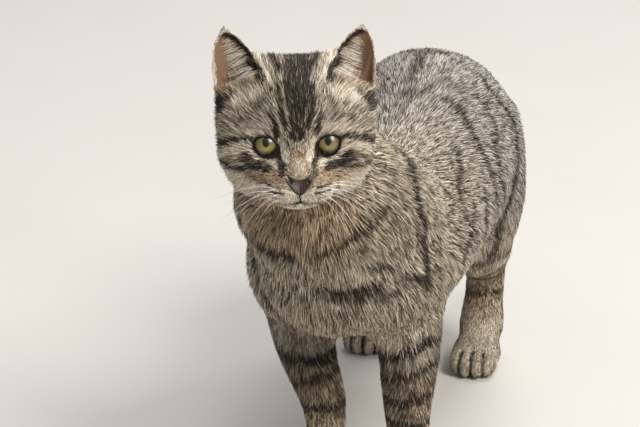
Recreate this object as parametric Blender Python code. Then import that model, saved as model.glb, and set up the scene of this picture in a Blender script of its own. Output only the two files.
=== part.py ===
"""A young mackerel tabby cat, standing square on its four paws with its head turned a little to its left.

Metres, +Z up. The cat faces -Y and its left side is at +X. While it is modelled, the ground point
between the forepaws is the origin. At the end everything moves so that the origin is the middle of
the bounding box's foot. The body is shaped whole, out to the tips of the coat, and is then parted
with thin cuts.
"""

import math

import bmesh
import bpy
import numpy as np
from mathutils import Matrix, Vector

MM = 0.001
SIDES = (("left", 1), ("right", -1))
CUT = 0.3 * MM  # width of the thin cut between two neighbours
VOXEL = 2.0 * MM  # grid that fuses the muscles into one body
FILL = 6.0 * MM  # hollows narrower than twice this are bridged by flesh
SOLE = 1.2 * MM  # how far each paw is pressed flat
FINE_TRIANGLES = 7600  # density of the head and paws, as if for the whole body
COARSE_TRIANGLES = 3400  # and that of the rest

# Driving sizes of the whole animal
RUMP_HEIGHT = 0.236
WITHERS_HEIGHT = 0.222
BELLY_HEIGHT = 0.106
PAWS = {
    # x and y of the middle of each paw; the right hind paw stands a little wider and further back
    "fore_left": (0.0260, 0.000),
    "fore_right": (-0.0250, 0.000),
    "hind_left": (0.0325, 0.223),
    "hind_right": (-0.0470, 0.247),
}

# The head: where the point midway between its eyes is, and how it is turned
EYES_MIDDLE = Vector((-0.021, -0.090, 0.262))
HEAD_YAW = math.radians(14.5)  # to the cat's left
HEAD_PITCH = math.radians(8.0)  # nose up
HEAD_ROLL = math.radians(1.0)  # left ear up
EYE_RADIUS = 9.3 * MM
EYE_SPREAD = 17.8 * MM  # from the middle plane of the head to the middle of an eye


def colour(red, green, blue):
    return (red, green, blue, 1.0)


MATERIALS = {
    "coat": (colour(0.30, 0.26, 0.21), 0.85),
    "eye": (colour(0.33, 0.31, 0.10), 0.12),
    "nose": (colour(0.10, 0.05, 0.04), 0.45),
}


def material(name):
    """The Principled material of that name, made once."""
    found = bpy.data.materials.get(name)
    if found:
        return found
    base, rough = MATERIALS[name]
    made = bpy.data.materials.new(name)
    made.use_nodes = True
    shader = made.node_tree.nodes["Principled BSDF"]
    shader.inputs["Base Color"].default_value = base
    shader.inputs["Roughness"].default_value = rough
    shader.inputs["Metallic"].default_value = 0.0
    return made


# ---------------------------------------------------------------- building tools


def add_object(name, mesh):
    made = bpy.data.objects.new(name, mesh)
    bpy.context.scene.collection.objects.link(made)
    return made


def from_bmesh(name, bm):
    bmesh.ops.recalc_face_normals(bm, faces=bm.faces)
    mesh = bpy.data.meshes.new(name)
    bm.to_mesh(mesh)
    bm.free()
    return add_object(name, mesh)


def ellipsoid(name, centre, radii, turn=(0, 0, 0), segments=28, rings=18):
    """A muscle or pad: a sphere drawn out to radii, turned by degrees about X, Y and Z."""
    bm = bmesh.new()
    bmesh.ops.create_uvsphere(bm, u_segments=segments, v_segments=rings, radius=1.0)
    spin = Matrix.Identity(4)
    for axis, degrees in zip("XYZ", turn):
        spin = Matrix.Rotation(math.radians(degrees), 4, axis) @ spin
    bm.transform(Matrix.Translation(centre) @ spin @ Matrix.Diagonal((*radii, 1.0)))
    return from_bmesh(name, bm)


def smooth_rows(rows, steps):
    """Rows of numbers with steps more between each two, on a Catmull-Rom curve."""
    rows = np.array(rows, float)
    ends = np.vstack([2 * rows[0] - rows[1], rows, 2 * rows[-1] - rows[-2]])
    found = []
    for i in range(len(rows) - 1):
        a, b, c, d = ends[i : i + 4]
        for t in np.arange(steps) / steps:
            found.append(
                b + 0.5 * t * (c - a + t * (2 * a - 5 * b + 4 * c - d + t * (3 * (b - c) + d - a)))
            )
    return np.array([*found, rows[-1]])


def limb(name, stations, steps=4, sides=24, sag=0.0):
    """A tube through stations of (x, y, z, half width, half depth), with domed ends.

    The width runs along X and the depth across the tube. Sag moves the widest level
    towards the tube's underside, as in a rib cage, as a share of the depth.
    """
    rows = smooth_rows(stations, steps)
    middles, halves = rows[:, :3], np.maximum(rows[:, 3:], 0.5 * MM)
    along = np.gradient(middles, axis=0)
    bm = bmesh.new()
    rings = []
    for middle, (wide, deep), ahead in zip(middles, halves, along):
        ahead = Vector(ahead).normalized()
        across = (Vector((1, 0, 0)) - ahead.x * ahead).normalized()
        up = across.cross(ahead)
        ring = []
        for k in range(sides):
            angle = math.tau * k / sides
            c, s = math.cos(angle), math.sin(angle)
            width = wide * c * (1.0 - sag * s * abs(c))
            ring.append(bm.verts.new(Vector(middle) + across * width + up * deep * s))
        rings.append(ring)
    for low, high in zip(rings, rings[1:]):
        for k in range(sides):
            bm.faces.new((low[k], low[(k + 1) % sides], high[(k + 1) % sides], high[k]))
    for ring, ahead in ((rings[0], -along[0]), (rings[-1], along[-1])):
        middle = sum((v.co for v in ring), Vector()) / sides
        bulge = Vector(ahead).normalized() * 0.5 * (ring[0].co - middle).length
        tip = bm.verts.new(middle + bulge)
        for k in range(sides):
            bm.faces.new((ring[k], ring[(k + 1) % sides], tip))
    return from_bmesh(name, bm)


def prism(name, profile, start, end, plane="XZ"):
    """A straight-sided cutter: a profile in the XZ or YZ plane, drawn from start to end across it."""
    bm = bmesh.new()

    def place(p, q, r):
        return (p, r, q) if plane == "XZ" else (r, p, q)

    base = bm.faces.new([bm.verts.new(place(p, q, start)) for p, q in profile])
    moved = bmesh.ops.extrude_face_region(bm, geom=[base])["geom"]
    shift = Vector(place(0, 0, end - start))
    bmesh.ops.translate(bm, vec=shift, verts=[g for g in moved if isinstance(g, bmesh.types.BMVert)])
    return from_bmesh(name, bm)


def modify(obj, kind, **settings):
    """Adds a modifier and applies it, so that the next step works on plain faces."""
    modifier = obj.modifiers.new(kind.title(), kind)
    for key, value in settings.items():
        setattr(modifier, key, value)
    graph = bpy.context.evaluated_depsgraph_get()
    obj.data = bpy.data.meshes.new_from_object(obj.evaluated_get(graph))
    obj.modifiers.clear()
    return obj


def discard(*objects):
    for obj in objects:
        bpy.data.objects.remove(obj)


def joined(name, pieces):
    """One object that holds the faces of all these pieces."""
    bm = bmesh.new()
    for piece in pieces:
        piece.data.transform(piece.matrix_basis)
        bm.from_mesh(piece.data)
    discard(*pieces)
    return from_bmesh(name, bm)


def weigh(obj, name, share):
    """A vertex group in which share(point) is each vertex's weight."""
    obj.vertex_groups.clear()
    group = obj.vertex_groups.new(name=name)
    for vertex in obj.data.vertices:
        group.add([vertex.index], share(vertex.co), "REPLACE")
    return name


def ramp(value, low, high):
    """0 below low, 1 above high, and smooth between."""
    t = min(1.0, max(0.0, (value - low) / (high - low)))
    return t * t * (3 - 2 * t)


def copy_of(obj, name):
    made = obj.copy()
    made.data = obj.data.copy()
    made.name = name
    bpy.context.scene.collection.objects.link(made)
    return made


def part_off(rest, cutter, name, source=None):
    """The part inside cutter becomes its own object, and rest keeps what is beyond the thin cut.

    The part is taken from source, a finer model of the same body, where one is given.
    """
    part = modify(copy_of(source or rest, name), "BOOLEAN", operation="INTERSECT", object=cutter)
    # the corners of a prism move out along their diagonals, so its faces move less far
    modify(cutter, "DISPLACE", strength=1.7 * CUT, mid_level=0.0)
    modify(rest, "BOOLEAN", operation="DIFFERENCE", object=cutter)
    discard(cutter)
    return part


# ---------------------------------------------------------------- the head


def head_frame():
    """From the head's own axes, -Y forward from the point between the eyes, to the cat's."""
    turn = Matrix.Rotation(HEAD_YAW, 4, "Z") @ Matrix.Rotation(-HEAD_PITCH, 4, "X")
    return Matrix.Translation(EYES_MIDDLE) @ turn @ Matrix.Rotation(-HEAD_ROLL, 4, "Y")


def on_head(obj):
    obj.data.transform(head_frame())
    return obj


def mass(name, side, ahead, up, radii, turn=(0, 0, 0)):
    """A mass of the head. Places and radii are in millimetres: to its left, forward and up."""
    place = Vector((side, -ahead, up)) * MM
    return ellipsoid(name, place, [r * MM for r in radii], turn)


def head_masses():
    """The skull, cheeks, muzzle and jaw with the coat that lies on them."""
    pieces = [
        mass("cranium", 0, -27, 14, (39, 37, 35)),
        mass("forehead", 0, -13, 14, (31, 26, 26)),
        mass("face", 0, -8, -8, (33, 22, 22)),
        mass("jaw", 0, -7, -20, (27, 27, 15)),
        mass("chin", 0, 12.5, -28.5, (12, 12, 7.2)),
        mass("nose_root", 0, 5.5, -2, (10, 9.5, 11)),
        mass("nose_bridge", 0, 14.5, -12, (9, 13, 8), turn=(38, 0, 0)),
        mass("nose_end", 0, 21, -19, (8.3, 7.5, 6.8)),
    ]
    for side in (-1, 1):
        pieces += [
            mass("crown", side * 15, -27, 20, (21, 30, 31)),
            mass("cheek", side * 24.5, -14, -4, (22, 24, 21)),
            mass("temple", side * 27, -20, 10, (20, 22, 22)),
            mass("ruff", side * 20, -16, -17, (21, 23, 18)),
            mass("brow", side * 17, 0, 14, (14, 9, 8), turn=(0, side * 12, side * 14)),
            mass("under_eye", side * 18, 2.0, -12, (12, 9, 8)),
            mass("whisker_pad", side * 9.2, 15.8, -22.5, (12.4, 12.5, 9.6)),
            mass("ear_root", side * 30, -22, 17, (16.5, 17, 19)),
        ]
    return [on_head(piece) for piece in pieces]


def orbits():
    """Two shallow dishes in which the eyes sit."""
    return [
        on_head(mass("orbit", side * 18.3, 12.6, 1.6, (11.2, 9.2, 8.2), turn=(0, side * -24, side * 10)))
        for side in (-1, 1)
    ]


def eye(name, side):
    """One eyeball, between its lids."""
    ball = on_head(ellipsoid(name, (side * EYE_SPREAD, 0, 0), [EYE_RADIUS] * 3, segments=20, rings=12))
    ball.data.shade_smooth()
    return ball


def ear(name, side):
    """One ear: a curved shell open to the front, from its root in the head to a rounded tip.

    Its inner and outer edges are curves in the head's millimetres: to the side, forward and up.
    """
    inner = smooth_rows([(11, -19, 24), (16, -20, 37), (24, -24, 50), (33, -29, 60), (40.5, -32, 65)], 3)
    outer = smooth_rows([(41, -17, 8), (45.5, -19, 24), (47.5, -23, 40), (46.5, -28, 54), (42, -32, 64)], 3)
    depths = smooth_rows([(15,), (15,), (12,), (6.5,), (1.2,)], 3)
    columns = 8
    bm = bmesh.new()
    grid = []
    for left, right, (depth,) in zip(inner, outer, depths):
        row = []
        for k in range(columns + 1):
            t = k / columns
            bow = 1.0 - (2 * t - 1) ** 2
            x, ahead, up = left + (right - left) * t
            row.append(bm.verts.new(Vector((side * x, depth * bow - ahead, up)) * MM))
        grid.append(row)
    for low, high in zip(grid, grid[1:]):
        for k in range(columns):
            bm.faces.new((low[k], low[k + 1], high[k + 1], high[k]))
    shell = from_bmesh(name, bm)
    modify(shell, "SOLIDIFY", thickness=2.6 * MM, offset=0.0, use_even_offset=True)
    return on_head(shell)


# ---------------------------------------------------------------- trunk, legs and tail


def lean(height):
    """How far the forequarters lean to the cat's right at this height, as its head turns left."""
    return -0.019 * ramp(height, 0.04, 0.15)


def trunk_masses():
    spine = [
        # x, y, top, underside, half width
        (-0.013, -0.042, 0.184, 0.138, 0.034),
        (-0.012, -0.026, 0.202, 0.120, 0.049),
        (-0.010, -0.004, 0.213, 0.110, 0.0580),
        (-0.006, 0.024, WITHERS_HEIGHT, 0.106, 0.0620),
        (-0.001, 0.060, 0.221, 0.104, 0.0620),
        (0.001, 0.095, 0.221, BELLY_HEIGHT, 0.0625),
        (0.002, 0.128, 0.225, 0.107, 0.0635),
        (0.002, 0.160, 0.232, 0.115, 0.0640),
        (0.001, 0.190, RUMP_HEIGHT, 0.126, 0.0630),
        (0.000, 0.220, 0.233, 0.138, 0.0580),
        (0.000, 0.246, 0.218, 0.150, 0.0450),
        (0.000, 0.263, 0.199, 0.165, 0.0270),
    ]
    rows = [(x, y, (top + low) / 2, wide, (top - low) / 2) for x, y, top, low, wide in spine]
    neck = [
        (-0.004, 0.085, 0.160, 0.052, 0.042),
        (-0.009, 0.045, 0.174, 0.058, 0.046),
        (-0.014, 0.008, 0.190, 0.0640, 0.048),
        (-0.018, -0.026, 0.208, 0.0600, 0.047),
        (-0.020, -0.052, 0.232, 0.0470, 0.043),
    ]
    return [
        limb("barrel", rows, sag=0.10),
        limb("nape", neck),
        ellipsoid("throat", (-0.016, -0.050, 0.200), (0.045, 0.034, 0.046), turn=(18, 0, 0)),
        ellipsoid("breast", (-0.014, -0.035, 0.170), (0.045, 0.034, 0.052), turn=(14, 0, 0)),
    ]


def foreleg_masses(side, paw):
    """Shoulder, upper arm and forearm down to the wrist, and the paw with its toes."""
    x, y = PAWS[paw]
    away = abs(x)
    arm = [
        # away from the middle plane, behind the paw, up, half width, half depth
        (0.036, 0.046, 0.185, 0.022, 0.034),
        (0.037, 0.040, 0.158, 0.0225, 0.034),
        (0.0355, 0.034, 0.130, 0.0225, 0.029),
        (0.0335, 0.025, 0.105, 0.0215, 0.024),
        (0.0305, 0.016, 0.085, 0.0194, 0.0205),
        (away, 0.010, 0.062, 0.0165, 0.0170),
        (away, 0.007, 0.042, 0.0145, 0.0150),
        (away, 0.002, 0.018, 0.0150, 0.0160),
    ]
    # the left foreleg bears more of the weight, so it stands broader and straighter
    brace = 1.06 if side == 1 else 1.0
    rows = [
        (side * out * brace + lean(up), y + back, up, wide * brace, deep)
        for out, back, up, wide, deep in arm
    ]
    shoulder = (side * 0.034 + lean(0.160), 0.010, 0.160)
    return [
        limb("arm", rows),
        ellipsoid("shoulder", shoulder, (0.0245, 0.038, 0.044), turn=(-20, 0, 0)),
    ] + paw_masses(x, y - 0.004, 0.0172)


def hindleg_masses(side, paw):
    """Thigh, shank and the long hind foot, and the paw with its toes."""
    x, y = PAWS[paw]
    away = abs(x)
    thigh = [
        # away from the middle plane, y, up, half width, half depth
        (0.032, 0.205, 0.196, 0.0310, 0.044),
        (0.0365, 0.196, 0.165, 0.0325, 0.051),
        (0.0405, 0.188, 0.135, 0.0300, 0.045),
        (0.5 * (away + 0.044), 0.5 * (y + 0.165), 0.110, 0.0250, 0.032),
        (0.5 * (away + 0.037), y + 0.004, 0.088, 0.0210, 0.023),
        (away, y + 0.028, 0.070, 0.0178, 0.0175),
    ]
    foot = [
        (away, y + 0.036, 0.080, 0.0140, 0.0115),
        (away, y + 0.039, 0.063, 0.0160, 0.0148),
        (away, y + 0.030, 0.040, 0.0163, 0.0140),
        (away, y + 0.019, 0.020, 0.0165, 0.0135),
    ]
    pieces = [
        limb(name, [(side * out, back, up, wide, deep) for out, back, up, wide, deep in rows])
        for name, rows in (("thigh", thigh), ("foot", foot))
    ]
    return pieces + paw_masses(x, y, 0.0180)


def paw_masses(x, y, half_width):
    """A paw that stands on the ground: its pad and four toes in an arc."""
    pieces = [ellipsoid("palm", (x, y + 0.004, 0.012), (half_width, 0.021, 0.0135))]
    for k in (-1.5, -0.5, 0.5, 1.5):
        toe = (x + k * 0.0079, y - 0.016 + 0.0022 * k * k, 0.0098)
        pieces.append(ellipsoid("toe", toe, (0.0055, 0.0110, 0.0092), turn=(8, 0, -4 * k)))
    return pieces


TAIL_PATH = [
    # x, y, z and half thickness, from the rump to the tip
    (0.000, 0.236, 0.208, 0.0155),
    (0.000, 0.264, 0.196, 0.0150),
    (0.003, 0.287, 0.166, 0.0140),
    (0.007, 0.302, 0.130, 0.0135),
    (0.011, 0.318, 0.095, 0.0130),
    (0.014, 0.341, 0.068, 0.0125),
    (0.014, 0.369, 0.060, 0.0115),
    (0.012, 0.392, 0.072, 0.0085),
]


def tail_masses():
    return [limb("tail", [(x, y, z, r, r) for x, y, z, r in TAIL_PATH], sides=16)]


# ---------------------------------------------------------------- the whole and its cuts


def near_head(point):
    """1 on the head and 0 on the body."""
    return 1.0 - ramp((point - EYES_MIDDLE).length, 0.050, 0.072)


def on_body(point):
    """1 on the body, and 0 on the head and on the paws."""
    return (1.0 - near_head(point)) * ramp(point.z, 0.025, 0.045)


def softened(point):
    """The share of each round of smoothing that applies: the face keeps its shape, the paws all of it."""
    return max(on_body(point), 0.15 * near_head(point))


def filled(point):
    """The share of FILL that applies: all on the body, half on the head, none on the legs."""
    return max(ramp(point.z, 0.088, 0.115) * on_body(point), 0.5 * near_head(point))


def fused_body():
    """All the flesh as one closed surface, with soft hollows where the limbs join."""
    pieces = head_masses() + trunk_masses() + tail_masses()
    for word, side in SIDES:
        pieces += foreleg_masses(side, "fore_" + word) + hindleg_masses(side, "hind_" + word)
    body = joined("body", pieces)
    modify(body, "REMESH", mode="VOXEL", voxel_size=VOXEL)
    for reach in (FILL, -FILL):
        modify(body, "DISPLACE", strength=reach, mid_level=0.0, vertex_group=weigh(body, "fill", filled))
        modify(body, "REMESH", mode="VOXEL", voxel_size=VOXEL)
        modify(body, "SMOOTH", factor=0.5, iterations=60, vertex_group=weigh(body, "soft", softened))
    for dish in orbits():
        modify(body, "BOOLEAN", operation="DIFFERENCE", object=dish)
        discard(dish)
    modify(body, "REMESH", mode="VOXEL", voxel_size=VOXEL)
    modify(body, "SMOOTH", factor=0.5, iterations=6)
    return body


def thinned(body, triangles):
    """The body with about that many triangles, fewest where it is flattest, standing on flat soles."""
    ratio = triangles / sum(len(face.vertices) - 2 for face in body.data.polygons)
    modify(body, "DECIMATE", ratio=ratio)
    floor = prism("floor", [(-1, -1), (1, -1), (1, SOLE), (-1, SOLE)], -1, 1)
    modify(body, "BOOLEAN", operation="DIFFERENCE", object=floor)
    discard(floor)
    body.data.transform(Matrix.Translation((0, 0, -SOLE)))
    return body


def parted_body():
    """The flesh nodes by name, each parted from its neighbours by a thin cut."""
    body = fused_body()
    fine = thinned(copy_of(body, "fine"), FINE_TRIANGLES)
    thinned(body, COARSE_TRIANGLES)
    parts = {}
    face_side = [(-0.09, -0.040), (-0.004, -0.040), (0.072, 0.028), (0.072, 0.12), (-0.09, 0.12)]
    cutter = on_head(prism("head_cut", face_side, -0.09, 0.09, "YZ"))
    parts["head"] = part_off(body, cutter, "head", fine)
    front_of_neck = [(-0.20, 0.150), (-0.050, 0.150), (0.034, 0.250), (0.034, 0.40), (-0.20, 0.40)]
    parts["neck"] = part_off(body, prism("neck_cut", front_of_neck, -0.2, 0.2, "YZ"), "neck")
    behind_rump = [(0.268, 0.30), (0.268, 0.15), (0.29, 0.11), (0.29, 0.02), (0.45, 0.02), (0.45, 0.30)]
    tail = part_off(body, prism("tail_cut", behind_rump, -0.028, 0.045, "YZ"), "tail_base")
    for name, cut in (
        ("tail_tip", [(0.334, 0), (0.45, 0), (0.45, 0.2), (0.334, 0.2)]),
        ("tail_middle", [(0.2, 0), (0.45, 0), (0.45, 0.136), (0.2, 0.146)]),
    ):
        parts[name] = part_off(tail, prism("tail_cut", cut, -0.1, 0.1, "YZ"), name)
    parts["tail_base"] = tail
    for word, side in SIDES:
        inner, outer = (-0.003, 0.1) if side == 1 else (-0.005, -0.1)
        low = [(inner, -0.1), (outer, -0.1), (outer, 0.033), (inner, 0.033)]
        for end, span in (("fore", (-0.1, 0.1)), ("hind", (0.15, 0.30))):
            cutter = prism("paw_cut", low, *span)
            parts[f"{end}paw_{word}"] = part_off(body, cutter, f"{end}paw_{word}", fine)
        fore = [(inner, 0), (inner, 0.099), (side * 0.085, 0.138), (side * 0.085, 0)]
        parts["foreleg_" + word] = part_off(body, prism("leg_cut", fore, -0.1, 0.062), "foreleg_" + word)
        hind = [(side * 0.004, 0), (side * 0.004, 0.113), (side * 0.085, 0.200), (side * 0.085, 0)]
        parts["hindleg_" + word] = part_off(body, prism("leg_cut", hind, 0.132, 0.32), "hindleg_" + word)
    discard(fine)
    body.name = "trunk"
    parts["trunk"] = body
    return parts


def set_in_place(nodes):
    """Puts the origin at the middle of the bounding box's foot, and each node's own origin at its middle."""
    points = {name: np.array([vertex.co for vertex in node.data.vertices]) for name, node in nodes.items()}
    everything = np.concatenate(list(points.values()))
    low, high = everything.min(axis=0), everything.max(axis=0)
    foot = Vector(((low[0] + high[0]) / 2, (low[1] + high[1]) / 2, low[2]))
    for name, node in nodes.items():
        centre = Vector((points[name].min(axis=0) + points[name].max(axis=0)) / 2)
        node.data.transform(Matrix.Translation(-centre))
        node.location = centre - foot


def main():
    for obj in list(bpy.data.objects):
        bpy.data.objects.remove(obj)
    nodes = parted_body()
    head = nodes["head"]
    nose_front = (0, -27.5 * MM, -18.5 * MM)
    leather = ellipsoid("leather", nose_front, (7.5 * MM, 6 * MM, 4.8 * MM), segments=14, rings=10)
    nodes["nose"] = part_off(head, on_head(leather), "nose")
    scalp = modify(copy_of(head, "scalp"), "DISPLACE", strength=CUT, mid_level=0.0)
    for word, side in SIDES:
        nodes["eye_" + word] = eye("eye_" + word, side)
        socket = modify(copy_of(nodes["eye_" + word], "socket"), "DISPLACE", strength=CUT, mid_level=0.0)
        modify(head, "BOOLEAN", operation="DIFFERENCE", object=socket)
        discard(socket)
        nodes["ear_" + word] = ear("ear_" + word, side)
        modify(nodes["ear_" + word], "BOOLEAN", operation="DIFFERENCE", object=scalp)
    discard(scalp)
    for name, node in nodes.items():
        kind = name.split("_")[0]
        node.data.materials.clear()
        node.data.materials.append(material(kind if kind in MATERIALS else "coat"))
        node.vertex_groups.clear()
    set_in_place(nodes)


if __name__ == "__main__":
    main()
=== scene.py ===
"""The looks of a young tabby cat that stands still: skin, coat, eyes, lids, nose, whiskers and a studio stage."""

import math

import bmesh
import bpy
import numpy as np
from mathutils import Matrix, Vector
from mathutils.bvhtree import BVHTree


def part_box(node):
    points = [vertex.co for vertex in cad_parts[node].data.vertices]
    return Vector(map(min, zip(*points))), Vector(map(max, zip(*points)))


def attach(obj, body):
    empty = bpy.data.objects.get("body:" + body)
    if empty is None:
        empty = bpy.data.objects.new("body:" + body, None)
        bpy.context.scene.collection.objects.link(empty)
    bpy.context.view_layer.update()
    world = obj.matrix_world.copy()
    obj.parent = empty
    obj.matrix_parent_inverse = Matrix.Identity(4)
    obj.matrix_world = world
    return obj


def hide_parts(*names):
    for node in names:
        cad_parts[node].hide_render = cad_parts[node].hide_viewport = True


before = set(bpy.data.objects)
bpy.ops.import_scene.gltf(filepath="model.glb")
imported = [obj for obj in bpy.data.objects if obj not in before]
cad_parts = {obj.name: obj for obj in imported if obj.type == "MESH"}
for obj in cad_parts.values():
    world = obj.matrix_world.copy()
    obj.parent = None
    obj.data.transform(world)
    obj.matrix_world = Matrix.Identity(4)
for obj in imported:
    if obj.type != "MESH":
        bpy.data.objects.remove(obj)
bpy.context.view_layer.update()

bl_info = {
    "name": "Tabby Cat",
    "version": (1, 0, 0),
    "blender": (4, 5, 0),
    "location": "3D Viewport > Sidebar > Cat",
    "description": "Dresses the solids of a young tabby cat in skin, coat, eyes, nose and whiskers",
    "category": "Add Mesh",
}

MM = 0.001

BALLS_AND_LEATHER = ("eye_left", "eye_right", "nose")
FLESH = sorted(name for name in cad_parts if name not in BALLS_AND_LEATHER)
SIDES = {"left": 1, "right": -1}


# Colours and small helpers


def linear(code):
    """The linear RGBA colour of an sRGB hex code."""
    parts = [int(code[i : i + 2], 16) / 255 for i in (1, 3, 5)]
    return [c / 12.92 if c <= 0.04045 else ((c + 0.055) / 1.055) ** 2.4 for c in parts] + [1.0]


def ramp(value, low, high):
    """A smooth step from 0 at low to 1 at high."""
    share = np.clip((value - low) / (high - low), 0, 1)
    return share * share * (3 - 2 * share)


def unit(vectors):
    return vectors / np.maximum(np.linalg.norm(vectors, axis=-1, keepdims=True), 1e-9)


def flat_on(vectors, normals):
    """Vectors laid into the planes across the normals, at length one."""
    return unit(vectors - normals * np.sum(vectors * normals, axis=1, keepdims=True))


def hashed(cells, seed):
    """One even random number from 0 to 1 for each whole-numbered cell."""
    mixed = cells[:, 0] * 73856093 ^ cells[:, 1] * 19349663 ^ cells[:, 2] * 83492791 ^ seed * 2654435761
    mixed = (mixed ^ (mixed >> 13)) * 1274126177 & 0x7FFFFFFF
    mixed = (mixed ^ (mixed >> 11)) * 668265263 & 0x7FFFFFFF
    return (mixed >> 7) % 65536 / 65536


def noise(points, size, seed):
    """Smooth noise from 0 to 1 over points, that changes over about one size."""
    grid = points / size + 1000
    cell = np.floor(grid).astype(np.int64)
    share = grid - cell
    share = share * share * (3 - 2 * share)
    total = np.zeros(len(points))
    for corner in np.ndindex(2, 2, 2):
        weight = np.prod(np.where(corner, share, 1 - share), axis=1)
        total += weight * hashed(cell + np.array(corner), seed)
    return total


def swirl(points, size, seed):
    """Three noises at once, from -1 to 1, as a vector for each point."""
    return np.stack([noise(points, size, seed + axis) for axis in range(3)], axis=1) * 2 - 1


# The cat's own axes


def middle(name):
    low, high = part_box(name)
    return (low + high) / 2


EYE_PLACES = {side: middle(f"eye_{side}") for side in SIDES}
BALL_RADIUS = (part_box("eye_left")[1].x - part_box("eye_left")[0].x) / 2
HEAD_FRAME = (
    Matrix.Translation((EYE_PLACES["left"] + EYE_PLACES["right"]) / 2)
    @ Matrix.Rotation(math.radians(14.5), 4, "Z")
    @ Matrix.Rotation(math.radians(-8), 4, "X")
    @ Matrix.Rotation(math.radians(-1), 4, "Y")
)
HEAD_MIDDLE = np.array(HEAD_FRAME.translation)
HEAD_AXES = np.array(HEAD_FRAME.to_3x3())


def in_head(points):
    """Places in millimetres along the head's own axes, from between the eyes: to its left, back and up."""
    return (points - HEAD_MIDDLE) @ HEAD_AXES / MM


def out_of_head(places):
    return np.asarray(places, float) * MM @ HEAD_AXES.T + HEAD_MIDDLE


# Meshes and attributes


def coordinates(mesh):
    values = np.empty(len(mesh.vertices) * 3)
    mesh.vertices.foreach_get("co", values)
    return values.reshape(-1, 3)


def set_coordinates(mesh, points):
    mesh.vertices.foreach_set("co", points.ravel())
    mesh.update()


def normals_of(mesh):
    values = np.empty(len(mesh.vertices) * 3)
    mesh.vertex_normals.foreach_get("vector", values)
    return values.reshape(-1, 3)


def edges_of(mesh):
    values = np.empty(len(mesh.edges) * 2, dtype=np.int32)
    mesh.edges.foreach_get("vertices", values)
    return values.reshape(-1, 2)


def store(mesh, name, kind, values, domain="POINT"):
    """Keeps numbers on the mesh under a name. Kind is FLOAT, FLOAT_VECTOR or FLOAT_COLOR."""
    field = {"FLOAT": "value", "FLOAT_VECTOR": "vector", "FLOAT_COLOR": "color"}[kind]
    attribute = mesh.attributes.get(name) or mesh.attributes.new(name, kind, domain)
    attribute.data.foreach_set(field, np.ascontiguousarray(values, dtype=np.float32).ravel())


def recall(mesh, name):
    """The numbers kept on the mesh under a name, one row for each point."""
    attribute = mesh.attributes[name]
    field, width = {"FLOAT": ("value", 1), "FLOAT_VECTOR": ("vector", 3), "FLOAT_COLOR": ("color", 4)}[
        attribute.data_type
    ]
    values = np.empty(len(attribute.data) * width, dtype=np.float32)
    attribute.data.foreach_get(field, values)
    return values.astype(float) if width == 1 else values.reshape(-1, width).astype(float)


def spread(values, edges, rounds):
    """Evens out values by averaging each point with its neighbours."""
    starts, ends = edges.T
    count = len(values)
    shares = np.maximum(np.bincount(starts, minlength=count) + np.bincount(ends, minlength=count), 1)
    columns = values.reshape(count, -1).copy()
    for _ in range(rounds):
        for column in columns.T:
            total = np.bincount(starts, column[ends], count) + np.bincount(ends, column[starts], count)
            column[:] = 0.5 * column + 0.5 * total / shares
    return columns.reshape(values.shape)


def shown(name, mesh, material, replaced=()):
    """Puts a mesh in the scene as a piece of the cat, in place of the solids it stands for and of an earlier run's."""
    old = bpy.data.objects.get(name)
    if old:
        bpy.data.objects.remove(old)
    mesh.materials.clear()
    mesh.materials.append(material)
    piece = bpy.data.objects.new(name, mesh)
    bpy.context.scene.collection.objects.link(piece)
    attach(piece, "root")
    if replaced:
        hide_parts(*replaced)
    return piece


# Markings: strokes on the face, in millimetres to the head's left and up, on both sides where sides is 2

FACE_DARK = (
    # sides, half width, strength, line
    (1, 7.5, 0.95, ((2, 52), (1, 39), (1, 27))),
    (1, 4.5, 0.9, ((1, 27), (0, 14), (0, 8))),
    (2, 1.6, 0.9, ((9.8, 34), (8.6, 20), (6.2, 11))),
    (2, 1.7, 0.95, ((13.7, 18), (12.4, 12), (11.2, 6.8))),
    (2, 2.2, 0.8, ((13, 48), (9, 42))),
    (2, 1.2, 0.95, ((25.7, 5.6), (32, 4.5), (42, 1.5), (50, -2))),
    (2, 2.0, 0.7, ((36, 3.2), (43, 1.0), (50, -2))),
    (2, 1.6, 0.9, ((30.5, -12.2), (37, -12.6), (43, -9.7), (50, -6))),
    (2, 2.9, 0.85, ((30, -5.5), (25.5, -9.5), (18, -10.8))),
    (2, 1.6, 1.0, ((11, -5), (9.2, -9.5), (9.8, -13.5))),
    (2, 3.6, 0.95, ((44, 20), (40, 28), (34, 33))),
    (2, 1.6, 0.5, ((20, 22), (26, 17), (33, 13))),
    (2, 1.4, 0.45, ((18, 28), (22, 21), (20, 15))),
    (2, 0.7, 0.85, ((18, -19.6), (10.8, -20.6))),
    (2, 0.7, 0.85, ((17.8, -22.8), (9.4, -23.8))),
    (2, 0.5, 0.6, ((16, -26), (11, -26.8))),
    (1, 0.9, 1.0, ((-8.5, -30.4), (-5.5, -31.2), (-2.5, -30.3), (0.4, -28.9))),
    (1, 0.9, 1.0, ((0.4, -28.9), (3.6, -30.2), (6.8, -31.0), (9.5, -30.2))),
    (1, 0.5, 0.9, ((0.4, -25.0), (0.4, -29.0))),
)
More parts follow.
